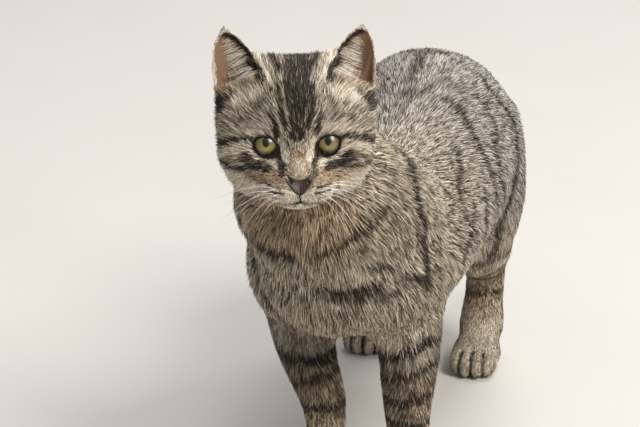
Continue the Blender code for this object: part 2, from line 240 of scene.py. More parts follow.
FACE_PALE = (
    (2, 2.2, 1.0, ((26.5, -2.4), (21, -7.6), (13.2, -8.6))),
    (2, 1.9, 1.0, ((10.6, 5.5), (7.8, -2), (6.6, -6.0))),
    (2, 2.4, 0.7, ((15.8, 11.5), (23, 10.5), (29, 9))),
    (2, 3.2, 0.8, ((21.5, 30.5), (28, 28), (33.5, 24.8))),
    (2, 4.6, 0.95, ((6, -25.0), (17, -24))),
    (2, 2.2, 1.0, ((5.6, -23.5), (2.6, -27.6))),
    (1, 3.4, 1.0, ((-6, -33), (6.5, -33))),
    (2, 5.0, 0.85, ((41, -15), (28, -24))),
    (2, 2.4, 0.7, ((27, 0.6), (37, -2.6), (47, -5.5))),
    (1, 3.6, 0.55, ((0.6, -9), (0.2, -14.5))),
)
FACE_TAN = (
    (1, 5.0, 0.8, ((1, -6), (0, -15))),
    (2, 4.5, 0.6, ((12, -15), (22, -17), (34, -20))),
    (2, 3.0, 0.5, ((30, -2), (38, -5))),
)
# Bands round the neck and over the chest and shoulders: half width, strength, then points in millimetres
BODY_DARK = (
    (3.2, 0.95, ((-63, -179, 193), (-50, -198, 189), (-32, -212, 188), (-24, -213, 188))),
    (3.2, 0.95, ((-10, -216, 191), (1, -216, 195), (13, -212, 202), (24, -203, 208), (31, -193, 218))),
    (5.5, 0.65, ((-8, -204, 164), (4, -200, 160), (16, -195, 162), (25, -189, 163))),
    (3.6, 0.75, ((24, -192, 178), (32, -179, 171), (41, -162, 160), (48, -148, 150))),
    (3.2, 0.7, ((22, -190, 156), (29, -179, 155), (37, -168, 156), (46, -154, 159))),
    (2.2, 0.6, ((31, -187, 186), (23, -199, 184))),
    (3.0, 0.6, ((-61, -155, 146), (-52, -159, 137), (-46, -150, 124))),
    (3.0, 0.6, ((-60, -165, 172), (-48, -186, 160), (-34, -196, 152))),
)
# Stripes down both flanks, as points in millimetres to the back and up
FLANK_DARK = (
    (2.6, 1.0, ((-128, 236), (-156, 223), (-166, 210), (-157, 188), (-150, 168), (-150, 154))),
    (1.2, 0.7, ((-136, 226), (-160, 229), (-172, 222))),
    (1.2, 0.7, ((-182, 211), (-182, 202), (-172, 193), (-170, 184))),
    (2.2, 0.9, ((-102, 200), (-94, 190))),
    (1.8, 0.6, ((-58, 206), (-64, 199), (-72, 190))),
    (2.2, 0.85, ((-42, 202), (-56, 194), (-80, 189), (-86, 180), (-84, 170))),
    (2.5, 0.95, ((-66, 176), (-78, 164), (-99, 156), (-97, 138))),
    (2.2, 0.85, ((-40, 176), (-47, 160), (-46, 138), (-50, 122))),
    (2.8, 0.8, ((2, 218), (-9, 204), (-14, 194), (-18, 172), (-14, 150), (-20, 124))),
    (2.6, 0.75, ((28, 214), (21, 196), (4, 186), (-2, 170), (8, 148), (2, 122))),
    (3.0, 0.8, ((58, 218), (49, 206), (54, 187), (44, 165), (31, 150), (22, 132), (30, 106))),
    (3.0, 0.7, ((84, 214), (78, 196), (70, 172), (62, 150), (52, 126))),
    (3.0, 0.7, ((108, 206), (104, 186), (98, 164), (90, 142), (78, 120))),
    (2.4, 0.6, ((122, 190), (121, 172), (116, 152), (108, 130))),
)
# Blotches over the rump, both sides: half width, strength, points to the side, back and up
BACK_DARK = (
    (5.0, 0.6, ((10, 1, 228), (22, 27, 229), (35, 22, 224))),
    (4.0, 0.55, ((35, 61, 228), (52, 56, 213))),
    (4.5, 0.6, ((4, -40, 232), (14, -28, 231), (30, -30, 222))),
    (4.5, 0.55, ((6, 70, 228), (20, 84, 222), (36, 88, 212))),
)
# Rings round the limbs: the node's start, height, rise to the outside, half width, strength
LIMB_RINGS = (
    ("foreleg_left", 127, 0.42, 4.2, 0.95),
    ("foreleg_left", 97, 0.45, 3.6, 0.95),
    ("foreleg_left", 84, 0.40, 2.8, 0.85),
    ("foreleg_left", 69, 0.10, 3.0, 0.9),
    ("foreleg_left", 55, -0.05, 2.6, 0.85),
    ("foreleg_left", 43, 0.1, 2.2, 0.7),
    ("foreleg_right", 91, 0.05, 3.6, 0.95),
    ("foreleg_right", 74, -0.35, 3.0, 0.9),
    ("foreleg_right", 58, -0.1, 2.6, 0.85),
    ("foreleg_right", 45, 0.1, 2.2, 0.7),
    *((f"hindleg_{side}", 96, 0.3, 3.4, 0.6) for side in SIDES),
    *((f"hindleg_{side}", 78, 0.3, 3.0, 0.6) for side in SIDES),
    *((f"hindleg_{side}", 62, 0.2, 2.8, 0.55) for side in SIDES),
    *((f"hindleg_{side}", 47, 0.1, 2.4, 0.5) for side in SIDES),
)
# The tail's middle line, in millimetres, and the rings along it
TAIL_LINE = np.array(
    [
        (4, 101, 208), (4, 129, 196), (7, 152, 166), (11, 167, 130),
        (15, 183, 95), (18, 206, 68), (18, 234, 60), (16, 257, 72),
    ]
)
TAIL_RING_STEP = 21.0


def stroke_distance(points, line):
    """How far each point is from a line, and how far along the line its nearest place is."""
    line = np.asarray(line, float)
    nearest = np.full(len(points), 1e9)
    along = np.zeros(len(points))
    passed = 0.0
    for start, end in zip(line[:-1], line[1:]):
        step = end - start
        length = np.linalg.norm(step)
        share = np.clip((points - start) @ step / length**2, 0, 1)
        distance = np.linalg.norm(points - start - share[:, None] * step, axis=1)
        closer = distance < nearest
        nearest = np.where(closer, distance, nearest)
        along = np.where(closer, passed + share * length, along)
        passed += length
    return nearest, along


def painted(points, line, half_width, strength, soft):
    distance, _ = stroke_distance(points, line)
    return strength * (1 - ramp(distance, half_width - soft, half_width + soft))


def face_marks(places, strokes, soft):
    """The strongest stroke at each place of the face, which are millimetres on the head's own axes."""
    best = np.zeros(len(places))
    for sides, half_width, strength, line in strokes:
        for side in (1, -1)[:sides]:
            mark = painted(places[:, (0, 2)] * (side, 1), line, half_width, strength, soft)
            best = np.maximum(best, mark)
    return best


def is_named(node, *starts):
    """Which points lie in solids whose names begin in one of these ways."""
    return np.isin(node, [number for number, name in enumerate(FLESH) if name.startswith(starts)])


# The eye's opening: half its length and height in millimetres, and its slant in degrees
LID_HALF_LONG, LID_HALF_HIGH, LID_TILT = 7.6, 5.6, 26


def lid_outline(count):
    """The rim of the eye's opening seen from the front, in millimetres from its middle, for the left eye."""
    radius = (LID_HALF_LONG**2 + LID_HALF_HIGH**2) / (2 * LID_HALF_HIGH)
    drop = radius - LID_HALF_HIGH
    spread_angle = math.asin(LID_HALF_LONG / radius)
    angles = np.linspace(-spread_angle, spread_angle, count // 2 + 1)[:-1]
    upper = np.stack([radius * np.sin(angles), radius * np.cos(angles) - drop], axis=1)
    outline = np.concatenate([upper, -upper])
    turn = math.radians(LID_TILT)
    return outline @ np.array([[math.cos(turn), math.sin(turn)], [-math.sin(turn), math.cos(turn)]])


def lid_distance(places):
    """How far outside the eye's opening each place is, below zero within it."""
    radius = (LID_HALF_LONG**2 + LID_HALF_HIGH**2) / (2 * LID_HALF_HIGH)
    drop = radius - LID_HALF_HIGH
    turn = math.radians(LID_TILT)
    across = places[:, 0] * math.cos(turn) + places[:, 1] * math.sin(turn)
    up = -places[:, 0] * math.sin(turn) + places[:, 1] * math.cos(turn)
    return np.maximum(np.hypot(across, up + drop), np.hypot(across, up - drop)) - radius


def eye_in_head(side):
    return in_head(np.array(EYE_PLACES[side])[None])[0]


def about_eye(head, side):
    """From an eye's middle to each place of the head, and how far outside the eye's opening each place is."""
    offset = head - eye_in_head(side)
    return offset, lid_distance(offset[:, (0, 2)] * (SIDES[side], 1))


# The ear's open side seen from the front, as places to the side and up on the head, on both sides: the edge towards
# the crown from its foot to the tip, the outer edge from the tip down, and the foot of the opening
EAR_INNER_EDGE = ((15.4, 37.0), (17.2, 42.2), (21.3, 47.2), (26.0, 53.3), (31.0, 58.3), (35.6, 61.2), (40.0, 62.3))
EAR_OUTER_EDGE = ((40.0, 62.3), (43.9, 60.1), (46.7, 54.1), (47.2, 47.0), (46.9, 37.6), (46.0, 31.2))
EAR_FOOT = ((43.5, 26.5), (39.7, 26.6), (33.4, 29.5), (26.5, 32.4), (20.5, 34.3))
EAR_OPENING = (*EAR_INNER_EDGE, *EAR_OUTER_EDGE[1:], *EAR_FOOT)


def inside_distance(plan, outline):
    """How far each place is within a closed outline, below zero outside it."""
    outline = np.asarray(outline, float)
    distance, _ = stroke_distance(plan, np.concatenate([outline, outline[:1]]))
    within = np.zeros(len(plan), dtype=bool)
    for (x0, y0), (x1, y1) in zip(outline, np.roll(outline, -1, axis=0)):
        crosses = (y0 > plan[:, 1]) != (y1 > plan[:, 1])
        reach = x0 + (plan[:, 1] - y0) / np.where(crosses, y1 - y0, 1.0) * (x1 - x0)
        within ^= crosses & (plan[:, 0] < reach)
    return np.where(within, distance, -distance)


def ear_plan(head):
    return np.stack([np.abs(head[:, 0] - 0.2), head[:, 2]], axis=1)


def markings(points, node):
    """Shares of stripe, tan, cream and grey at each point of the coat, given the solid that each point lies in. The
    stripe share also carries painted shade: on the forelegs, in the clefts between the toes and in each ear's cup near
    its inner edge.
    """
    wander = swirl(points, 5 * MM, 11) * 0.9 + swirl(points, 14 * MM, 21) * 1.6
    millimetres = points / MM + wander
    head = in_head(points)
    on_face = (1 - ramp(head[:, 1], 34, 44)) * is_named(node, "head", "ear")
    face = head + swirl(points, 3 * MM, 31) * 0.7

    stripe = np.zeros(len(points))
    tan = np.zeros(len(points))
    cream = np.zeros(len(points))
    near = on_face > 0
    stripe[near] = face_marks(face[near], FACE_DARK, 0.8) * on_face[near]
    cream[near] = face_marks(face[near], FACE_PALE, 1.4) * on_face[near]
    tan[near] = face_marks(face[near], FACE_TAN, 3.0) * on_face[near]

    plan = ear_plan(head)
    inner, _ = stroke_distance(plan, EAR_INNER_EDGE)
    outer, _ = stroke_distance(plan, EAR_OUTER_EDGE)
    cup = ramp(inside_distance(plan, EAR_OPENING), -0.3, 0.6) * near * (head[:, 1] < 36)
    rim = (1 - ramp(np.minimum(inner, outer), 1.3, 2.0)) * near * (head[:, 1] < 34) * (head[:, 1] > 0)
    # painted shade: each ear's cup made dark close to its inner edge, for the shade in the hollow there
    stripe = np.maximum(stripe * (1 - cup), cup * (1 - ramp(inner, 5, 9)) * 0.9) * (1 - rim)
    cream = np.maximum(cream * (1 - cup), rim)
    tan = np.maximum(tan, cup * 0.35)

    body = ~is_named(node, "head", "ear")
    torso = is_named(node, "neck", "trunk", "hindleg", "foreleg")
    spots = millimetres[torso]
    marks = np.zeros(len(spots))
    for half_width, strength, line in BODY_DARK:
        marks = np.maximum(marks, painted(spots, line, half_width, strength, 1.6))
    off_spine = ramp(np.abs(spots[:, 0]), 6, 22)
    for half_width, strength, line in FLANK_DARK:
        shifted = spots[:, (1, 2)] + np.where(spots[:, :1] < 0, (5.0, -3.0), (0.0, 0.0))
        marks = np.maximum(marks, painted(shifted, line, half_width, strength, 2.4) * off_spine)
    mirrored = np.abs(spots - (2, 0, 0)) * (1, 0, 0) + spots * (0, 1, 1)
    for half_width, strength, line in BACK_DARK:
        marks = np.maximum(marks, painted(mirrored, line, half_width, strength, 3.0))
    spine = 0.6 * (1 - ramp(np.abs(spots[:, 0] - 2), 2, 7))
    spine *= ramp(spots[:, 2], 205, 225) * ramp(spots[:, 1], -150, -110)
    marks = np.maximum(marks, spine * (0.5 + 0.5 * noise(points[torso], 9 * MM, 5)))
    stripe[torso] = np.maximum(stripe[torso], marks)

    for name, height, rise, half_width, strength in LIMB_RINGS:
        inside = node == FLESH.index(name)
        low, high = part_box(name)
        outward = (1 if name.endswith("left") else -1) * (millimetres[inside, 0] - (low.x + high.x) / 2 / MM)
        gap = np.abs(millimetres[inside, 2] - height - rise * outward)
        stripe[inside] = np.maximum(stripe[inside], strength * (1 - ramp(gap, half_width - 1.6, half_width + 1.6)))
    # painted shade: the forelegs darkened from about 36 to 140 mm up, as they stand in the shadow under the body
    painted_leg_shade = ramp(millimetres[:, 2], 36, 60) * (1 - ramp(millimetres[:, 2], 112, 140)) * is_named(node, "foreleg")
    stripe = np.maximum(stripe, 0.46 * painted_leg_shade)
    on_tail = is_named(node, "tail")
    _, along = stroke_distance(millimetres[on_tail], TAIL_LINE)
    rings = 0.85 * (0.5 + 0.5 * np.cos(along / TAIL_RING_STEP * 2 * math.pi)) ** 1.2
    stripe[on_tail] = np.maximum(ramp(rings, 0.25, 0.7) * 0.85, ramp(along, 190, 200))

    throat = ramp(millimetres[:, 2], 176, 204) * ramp(-millimetres[:, 1], 150, 190) * body
    throat *= 1 - 0.8 * ramp(np.abs(millimetres[:, 0] + 18), 22, 42)
    lower_legs = (1 - ramp(millimetres[:, 2], 60, 160)) * body
    tan = np.maximum.reduce([tan, 0.6 * throat, 0.4 * lower_legs])
    cleft, _ = toe_fields(points, node)
    # painted shade: the clefts between the toes darkened near the floor, for the shade within them
    stripe = np.maximum(stripe, 0.75 * np.clip(cleft, 0, 1) * (millimetres[:, 2] < 26))
    belly = (1 - ramp(millimetres[:, 2], 100, 122)) * ramp(millimetres[:, 2], 84, 96) * torso
    feet = (1 - ramp(millimetres[:, 2], 22, 44)) * 0.55
    cream = np.maximum.reduce([cream, 0.5 * belly, feet])
    grey = ramp(millimetres[:, 1], -140, 40) * ramp(millimetres[:, 2], 90, 150) * body
    broken = 0.55 + 0.8 * noise(points, 5 * MM, 61)
    stripe = ramp(stripe * np.where(near, 1.0, broken), 0.08, 0.72)
    for side in SIDES:
        offset, gap = about_eye(head, side)
        lined = (1 - ramp(gap, 1.0, 1.9)) * (np.linalg.norm(offset, axis=1) < 16) * (offset[:, 1] < 2)
        stripe = np.maximum(stripe, lined)
        cream = cream * (1 - lined)
    return np.clip(np.stack([stripe, tan, cream, grey], axis=1), 0, 1)


# The skin: one closed surface, inside the solids by the depth of the coat

VOXEL = 2.4 * MM
GROWTH = 0.6 * MM
# The coat takes no more than this share of a thin part such as an ear
THICKEST_COAT = 0.36
# For each solid: the coat's length and depth over the skin in millimetres, how much it lifts, its tufts on a square
# millimetre, and their width in millimetres, which is that of a lock rather than of a hair
COAT_KINDS = {
    "head": (6.0, 1.9, 0.24, 4.6, 0.50),
    "ear_left": (2.8, 0.5, 0.16, 4.2, 0.36),
    "ear_right": (2.8, 0.5, 0.16, 4.2, 0.36),
    "neck": (11.0, 4.2, 0.25, 2.4, 0.52),
    "trunk": (10.0, 4.2, 0.21, 1.5, 0.62),
    "tail_base": (9.0, 3.6, 0.22, 2.0, 0.54),
    "tail_middle": (8.5, 3.2, 0.22, 2.0, 0.54),
    "tail_tip": (9.0, 2.8, 0.26, 2.0, 0.62),
    "foreleg_left": (6.5, 2.4, 0.18, 2.1, 0.48),
    "foreleg_right": (6.5, 2.4, 0.18, 2.1, 0.48),
    "forepaw_left": (3.4, 1.0, 0.22, 3.0, 0.46),
    "forepaw_right": (3.4, 1.0, 0.22, 3.0, 0.46),
    "hindleg_left": (7.8, 2.8, 0.20, 1.8, 0.52),
    "hindleg_right": (7.8, 2.8, 0.20, 1.8, 0.52),
    "hindpaw_left": (3.4, 1.0, 0.22, 3.0, 0.46),
    "hindpaw_right": (3.4, 1.0, 0.22, 3.0, 0.46),
}
NOSE_TIP = np.array((0.3, -26.0, -17.0))


def evaluated(piece):
    """The mesh of an object with its modifiers, and the object is dropped."""
    graph = bpy.context.evaluated_depsgraph_get()
    mesh = bpy.data.meshes.new_from_object(piece.evaluated_get(graph))
    bpy.data.objects.remove(piece)
    return mesh


def joined_flesh():
    """The solids of flesh as one closed body: each is grown a little, so that the cuts between them close."""
    bm = bmesh.new()
    for name in (*FLESH, "eye_left", "eye_right"):
        bm.from_mesh(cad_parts[name].data)
    bmesh.ops.remove_doubles(bm, verts=bm.verts, dist=0.01 * MM)
    bm.normal_update()
    for vert in bm.verts:
        vert.co += vert.normal * GROWTH
    mesh = bpy.data.meshes.new("flesh")
    bm.to_mesh(mesh)
    bm.free()
    flesh = bpy.data.objects.new("flesh", mesh)
    bpy.context.scene.collection.objects.link(flesh)
    remesh = flesh.modifiers.new("closed", "REMESH")
    remesh.mode = "VOXEL"
    remesh.voxel_size = VOXEL
    smooth = flesh.modifiers.new("even", "SMOOTH")
    smooth.factor = 0.5
    smooth.iterations = 6
    return evaluated(flesh)


def nearest_solid(points):
    """For each point, the number in FLESH of the solid that it is nearest to."""
    corners, faces, owners = [], [], []
    for number, name in enumerate(FLESH):
        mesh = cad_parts[name].data
        start = len(corners)
        corners += [vertex.co for vertex in mesh.vertices]
        for face in mesh.polygons:
            faces.append([start + index for index in face.vertices])
            owners.append(number)
    tree = BVHTree.FromPolygons(corners, faces)
    return np.array([owners[tree.find_nearest(point)[2]] for point in points.tolist()])


def thickness(mesh, points, normals):
    """How thick the body is under each point."""
    tree = BVHTree.FromPolygons(points.tolist(), [face.vertices for face in mesh.polygons])
    reach = 40 * MM
    starts = points - normals * 0.2 * MM
    found = [tree.ray_cast(start, way, reach)[3] for start, way in zip(starts.tolist(), (-normals).tolist())]
    return np.array([reach if depth is None else depth for depth in found])


def kinds(node, column):
    return np.array([COAT_KINDS[name][column] for name in FLESH])[node]


def coat_fields(points, node, edges):
    """Length, depth, lift, tufts on a square millimetre and tuft width at each point of the skin."""
    fields = np.stack([kinds(node, column) for column in range(5)], axis=1)
    head = in_head(points)
    reach = np.linalg.norm(head - NOSE_TIP, axis=1)
    is_head = is_named(node, "head")
    face = 0.24 + 0.76 * ramp(reach, 8, 52)
    throat = ramp(-head[:, 2], 28, 42) * ramp(head[:, 1], -22, 0)
    fields[is_head, 0] = 7.5 * face[is_head] + 4.0 * throat[is_head]
    fields[is_head, 1] = 2.3 * face[is_head] + 1.2 * throat[is_head]
    fields[is_head, 4] = 0.27 + 0.17 * face[is_head]
    fields[is_head, 3] = 5.6 - 1.8 * face[is_head]
    behind = is_head & (head[:, 1] > 22)
    fields[behind, 3] = 2.8
    for name in ("foreleg_left", "foreleg_right", "hindleg_left", "hindleg_right"):
        inside = node == FLESH.index(name)
        high = ramp(points[inside, 2], 40 * MM, 110 * MM)
        fields[inside, 0] *= 0.6 + 0.5 * high
        fields[inside, 1] *= 0.6 + 0.5 * high
    ears = is_named(node, "ear")
    fields[ears, 0] *= 1 - 0.65 * ramp(head[ears, 2], 46, 60)
    return spread(fields, edges, 14)


def ear_axes(side):
    """An ear's way up, and the way that its open side faces."""
    points = coordinates(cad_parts[f"ear_{side}"].data)
    head = in_head(points)
    low = points[head[:, 2] < head[:, 2].min() + 8].mean(axis=0)
    tip = points[head[:, 2].argmax()]
    facing = HEAD_AXES @ unit(np.array((0.32 * SIDES[side], -1.0, 0.1)))
    return unit(tip - low), facing


def lie_of_coat(points, normals, node, edges):
    """Which way the coat lies at each point: from the nose over the head, back along the trunk, down the limbs."""
    ways = np.tile((0.0, 1.0, -0.42), (len(points), 1))
    ways[:, 2] -= 1.3 * np.clip(-normals[:, 1], 0, 1)
    names = np.array(FLESH)[node]
    neck = names == "neck"
    ways[neck] = (0, 0.7, -0.75)
    legs = np.char.find(names, "leg") >= 0
    ways[legs] = (0, 0.25, -1)
    high_thigh = legs & (points[:, 2] > 120 * MM)
    ways[high_thigh] = (0, 0.7, -0.8)
    paws = np.char.find(names, "paw") >= 0
    ways[paws] = (0, -0.8, -0.6)
    tail = np.char.startswith(names, "tail")
    line = TAIL_LINE * MM
    nearest = np.full(len(points), 1e9)
    for start, end in zip(line[:-1], line[1:]):
        distance = np.linalg.norm(points - (start + end) / 2, axis=1)
        closer = tail & (distance < nearest)
        ways[closer] = unit(end - start)
        nearest[closer] = distance[closer]
    on_head = names == "head"
    head = in_head(points)
    away = unit(head - NOSE_TIP) + (0, 0.25, 0)
    under_eye = ramp(-head[:, 2], -2, 8) * ramp(np.abs(head[:, 0]), 10, 20)
    away[:, 2] -= 0.55 * under_eye
    for side in SIDES:
        eye = eye_in_head(side) + (0, -4, 0)
        towards = unit(eye - head)
        close = 1 - ramp(np.linalg.norm(eye - head, axis=1), 9, 17)
        share = np.clip(np.sum(away * towards, axis=1), 0, None) * close
        away -= towards * share[:, None] * 1.3
    ways[on_head] = (away @ HEAD_AXES.T)[on_head]
    for side in SIDES:
        ear = names == f"ear_{side}"
        ways[ear] = ear_axes(side)[0]
    ways = flat_on(ways, normals)
    for _ in range(4):
        ways = flat_on(spread(ways, edges, 4), normals)
    return ways


def sculpt_lids(head):
    """Draws the skin over each eyeball to the rim of its lids, and opens it within them."""
    ball = BALL_RADIUS / MM
    for side in SIDES:
        offset, gap = about_eye(head, side)
        distance = np.linalg.norm(offset, axis=1)
        ahead = offset[:, 1] < 1.5
        near = ahead & (distance < 19)
        lid = ball + 0.45 + 0.12 * np.clip(gap, 0, 6)
        draw = 1 - ramp(gap, 0.5, 6.5)
        within = np.minimum(distance, ball - 1.3 * ramp(-gap, -0.2, 0.9))
        target = np.where(gap > 0, distance + (lid - distance) * draw, within)
        target = np.where((gap > 0) & (target < lid), lid, target)
        head[near] = (eye_in_head(side) + offset * (target / distance)[:, None])[near]
    return head


def sculpt_ears(head):
    """Hollows the head's corner before each ear, so that the ear's cup runs down into it behind a raised edge."""
    plan = ear_plan(head)
    within = inside_distance(plan, EAR_OPENING)
    floor = np.clip(7 + 1.5 * (plan[:, 0] - 15), 7, 29)
    sunk = head[:, 1] + (floor - head[:, 1]) * ramp(within, -0.4, 4.5)
    chosen = (head[:, 1] > -12) & (head[:, 1] < floor)
    head[chosen, 1] = sunk[chosen]
    return head


MOUTH = ((-8.5, -30.2), (-5.5, -31.0), (-2.5, -30.2), (0.4, -28.8), (3.6, -30.1), (6.8, -30.8), (9.5, -30.0))
PHILTRUM = ((0.4, -25.0), (0.4, -28.8))


def sculpt_muzzle(head, normals):
    """Raises the whisker pads, and sinks the mouth's line and the groove from the nose to it."""
    front = head[:, 1] < -8
    plan = head[:, (0, 2)]
    mouth, _ = stroke_distance(plan, MOUTH)
    groove, _ = stroke_distance(plan, PHILTRUM)
    sink = 1.3 * np.exp(-((mouth / 0.9) ** 2)) + 0.7 * np.exp(-((groove / 0.7) ** 2))
    for side in (1, -1):
        pad = np.linalg.norm((plan - (side * 8.5, -24.0)) / (7.5, 5.0), axis=1)
        sink -= 0.9 * np.exp(-(pad**2))
    return head - normals * (sink * front)[:, None]


# The width of a toe, and how far up and back from a paw's front its skin is cut finer, in millimetres
TOE_WIDTH, PAW_HEIGHT, PAW_DEPTH = 8.6, 30, 26


def toe_fields(points, node):
    """How deep the clefts between the toes go, and how far the toes bulge, at each point, in millimetres."""
    cleft = np.zeros(len(points))
    bulge = np.zeros(len(points))
    for name in FLESH:
        if "paw" not in name:
            continue
        low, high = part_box(name)
        inside = node == FLESH.index(name)
        side = (points[inside, 0] - (low.x + high.x) / 2) / MM
        back = (points[inside, 1] - low.y) / MM
        near = 1 - ramp(back, 9, 19)
        for place in (-TOE_WIDTH, 0, TOE_WIDTH):
            bend = side - place * (1 - 0.012 * np.clip(back, 0, 25))
            cleft[inside] += near * np.exp(-((bend / 1.35) ** 2))
        bulge[inside] = near * np.abs(np.sin(side / TOE_WIDTH * math.pi / 2))
    return cleft, bulge


def sculpt_paws(points, normals, node):
    """Parts the front of each paw into four toes."""
    cleft, bulge = toe_fields(points, node)
    above = ramp(points[:, 2], 1 * MM, 5 * MM)
    depth = (2.6 * cleft - 0.9 * bulge) * above * MM
    return points - normals * depth[:, None]


def toe_faces(centres):
    """Which faces lie on the front of a paw."""
    chosen = np.zeros(len(centres), dtype=bool)
    for name in ("forepaw", "hindpaw"):
        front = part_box(f"{name}_left")[0].y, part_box(f"{name}_right")[0].y
        chosen |= (centres[:, 1] > min(front) - 4 * MM) & (centres[:, 1] < max(front) + PAW_DEPTH * MM)
    return chosen & (centres[:, 2] < PAW_HEIGHT * MM)


def refined(mesh, chosen):
    """The mesh with each chosen face cut in four."""
    bm = bmesh.new()
    bm.from_mesh(mesh)
    bm.faces.ensure_lookup_table()
    edges = {edge for index in np.flatnonzero(chosen) for edge in bm.faces[index].edges}
    edges = sorted(edges, key=lambda edge: edge.index)
    bmesh.ops.subdivide_edges(bm, edges=edges, cuts=1, use_grid_fill=True, smooth=0.0)
    bm.to_mesh(mesh)
    bm.free()
    return mesh


def is_coarse(mesh):
    """Which faces are still of the first size."""
    areas = np.empty(len(mesh.polygons))
    mesh.polygons.foreach_get("area", areas)
    return areas > 0.45 * VOXEL**2


def face_centres(mesh):
    values = np.empty(len(mesh.polygons) * 3)
    mesh.polygons.foreach_get("center", values)
    return values.reshape(-1, 3)


def build_skin(settings):
    """Sinks the joined flesh by the depth of the coat, carves its features, and keeps what the coat needs on it."""
    mesh = joined_flesh()
    points, normals, edges = coordinates(mesh), normals_of(mesh), edges_of(mesh)
    node = nearest_solid(points)
    depth = coat_fields(points, node, edges)[:, 1] * MM * settings.depth
    depth = np.minimum(depth + GROWTH, THICKEST_COAT * thickness(mesh, points, normals))
    depth = spread(depth, edges, 4)
    for _ in range(4):
        points = points - normals_of(mesh) * depth[:, None] / 4
        set_coordinates(mesh, points)
    centres = in_head(face_centres(mesh))
    face = (centres[:, 1] < 8) & (np.abs(centres[:, 0]) < 40)
    mesh = refined(mesh, face & (centres[:, 2] > -42) & (centres[:, 2] < 36))
    points = spread(coordinates(mesh), edges_of(mesh), 2)
    set_coordinates(mesh, points)
    centres = in_head(face_centres(mesh))
    eye = np.abs(np.abs(centres[:, 0]) - 17.6) < 11
    eye &= (np.abs(centres[:, 2]) < 10) & (centres[:, 1] < 3)
    muzzle = (np.abs(centres[:, 0]) < 17) & (centres[:, 2] < -11) & (centres[:, 2] > -36) & (centres[:, 1] < -12)
    ear = (np.abs(centres[:, 0]) > 12) & (centres[:, 2] > 24) & (centres[:, 1] < 36)
    ear &= is_coarse(mesh)
    mesh = refined(mesh, eye | muzzle | ear)
    head = in_head(spread(coordinates(mesh), edges_of(mesh), 1))
    set_coordinates(mesh, out_of_head(head))
    head = sculpt_ears(head)
    set_coordinates(mesh, out_of_head(head))
    mesh = refined(mesh, toe_faces(face_centres(mesh)))
    points = coordinates(mesh)
    points = sculpt_paws(points, normals_of(mesh), nearest_solid(points))
    set_coordinates(mesh, points)
    head = in_head(points)
    head = sculpt_muzzle(head, normals_of(mesh) @ HEAD_AXES)
    head = sculpt_lids(head)
    set_coordinates(mesh, out_of_head(head))

    points, normals, edges = coordinates(mesh), normals_of(mesh), edges_of(mesh)
    node = nearest_solid(points)
    fields = coat_fields(points, node, edges)
    for column, name in ((0, "length"), (2, "lift"), (3, "tufts"), (4, "breadth")):
        store(mesh, name, "FLOAT", fields[:, column])
    store(mesh, "solid", "FLOAT", node)
    store(mesh, "lie", "FLOAT_VECTOR", lie_of_coat(points, normals, node, edges))
    outside = points + normals * depth.mean()
    store(mesh, "marks", "FLOAT_COLOR", markings(outside, node))
    store(mesh, "bare", "FLOAT", bareness(points, normals, node))
    for polygon in mesh.polygons:
        polygon.use_smooth = True
    skin = shown("skin", mesh, skin_material(settings), FLESH)
    unwrap(skin)
    return skin


def bareness(points, normals, node):
    """Share of bare skin, which shows inside the ears, clear of their edges."""
    bare = np.zeros(len(points))
    for side in SIDES:
        facing = ear_axes(side)[1]
        inside = (node == FLESH.index(f"ear_{side}")) & (normals @ facing > 0.15)
        bare[inside] = 1
    head = in_head(points)
    plan = ear_plan(head)
    inner, _ = stroke_distance(plan, EAR_INNER_EDGE)
    outer, _ = stroke_distance(plan, EAR_OUTER_EDGE)
    bare *= ramp(inner, 3.0, 6.0) * ramp(outer, 0.8, 1.6)
    return bare


def unwrap(piece):
    """Unwraps the piece by its own shape into a map, named OFBake, for its colours."""
    bpy.ops.object.select_all(action="DESELECT")
    piece.select_set(True)
    bpy.context.view_layer.objects.active = piece
    piece.data.uv_layers.new(name="OFBake")
    bpy.ops.object.mode_set(mode="EDIT")
    bpy.ops.mesh.select_all(action="SELECT")
    bpy.ops.uv.smart_project(angle_limit=math.radians(66), island_margin=0.002)
    bpy.ops.object.mode_set(mode="OBJECT")


# The coat: thin tapered tufts, rooted on the skin

# The lowest that a tuft may hang, so that none goes through the floor
FLOOR_GAP = 0.2 * MM
# Half the side of the patch that each tuft has on the unwrapped skin
PATCH = 0.0015
# Shares of dark tufts between the stripes and of paler tufts in them
DARK_TICKS, PALE_TICKS = 0.1, 0.14

COAT_PIECES = {
    "coat_face": lambda node, head, points: is_named(node, "head") & (head[:, 1] < 8),
    "coat_crown": lambda node, head, points: is_named(node, "head") & (head[:, 1] >= 8),
    "coat_ears": lambda node, head, points: is_named(node, "ear"),
    "coat_neck": lambda node, head, points: is_named(node, "neck"),
    "coat_trunk_left": lambda node, head, points: is_named(node, "trunk") & (points[:, 0] >= 0),
    "coat_trunk_right": lambda node, head, points: is_named(node, "trunk") & (points[:, 0] < 0),
    "coat_forelegs": lambda node, head, points: is_named(node, "fore"),
    "coat_hindleg_left": lambda node, head, points: is_named(node, "hind") & (points[:, 0] >= 0.004),
    "coat_hindleg_right": lambda node, head, points: is_named(node, "hind") & (points[:, 0] < 0.004),
    "coat_tail": lambda node, head, points: is_named(node, "tail"),
}


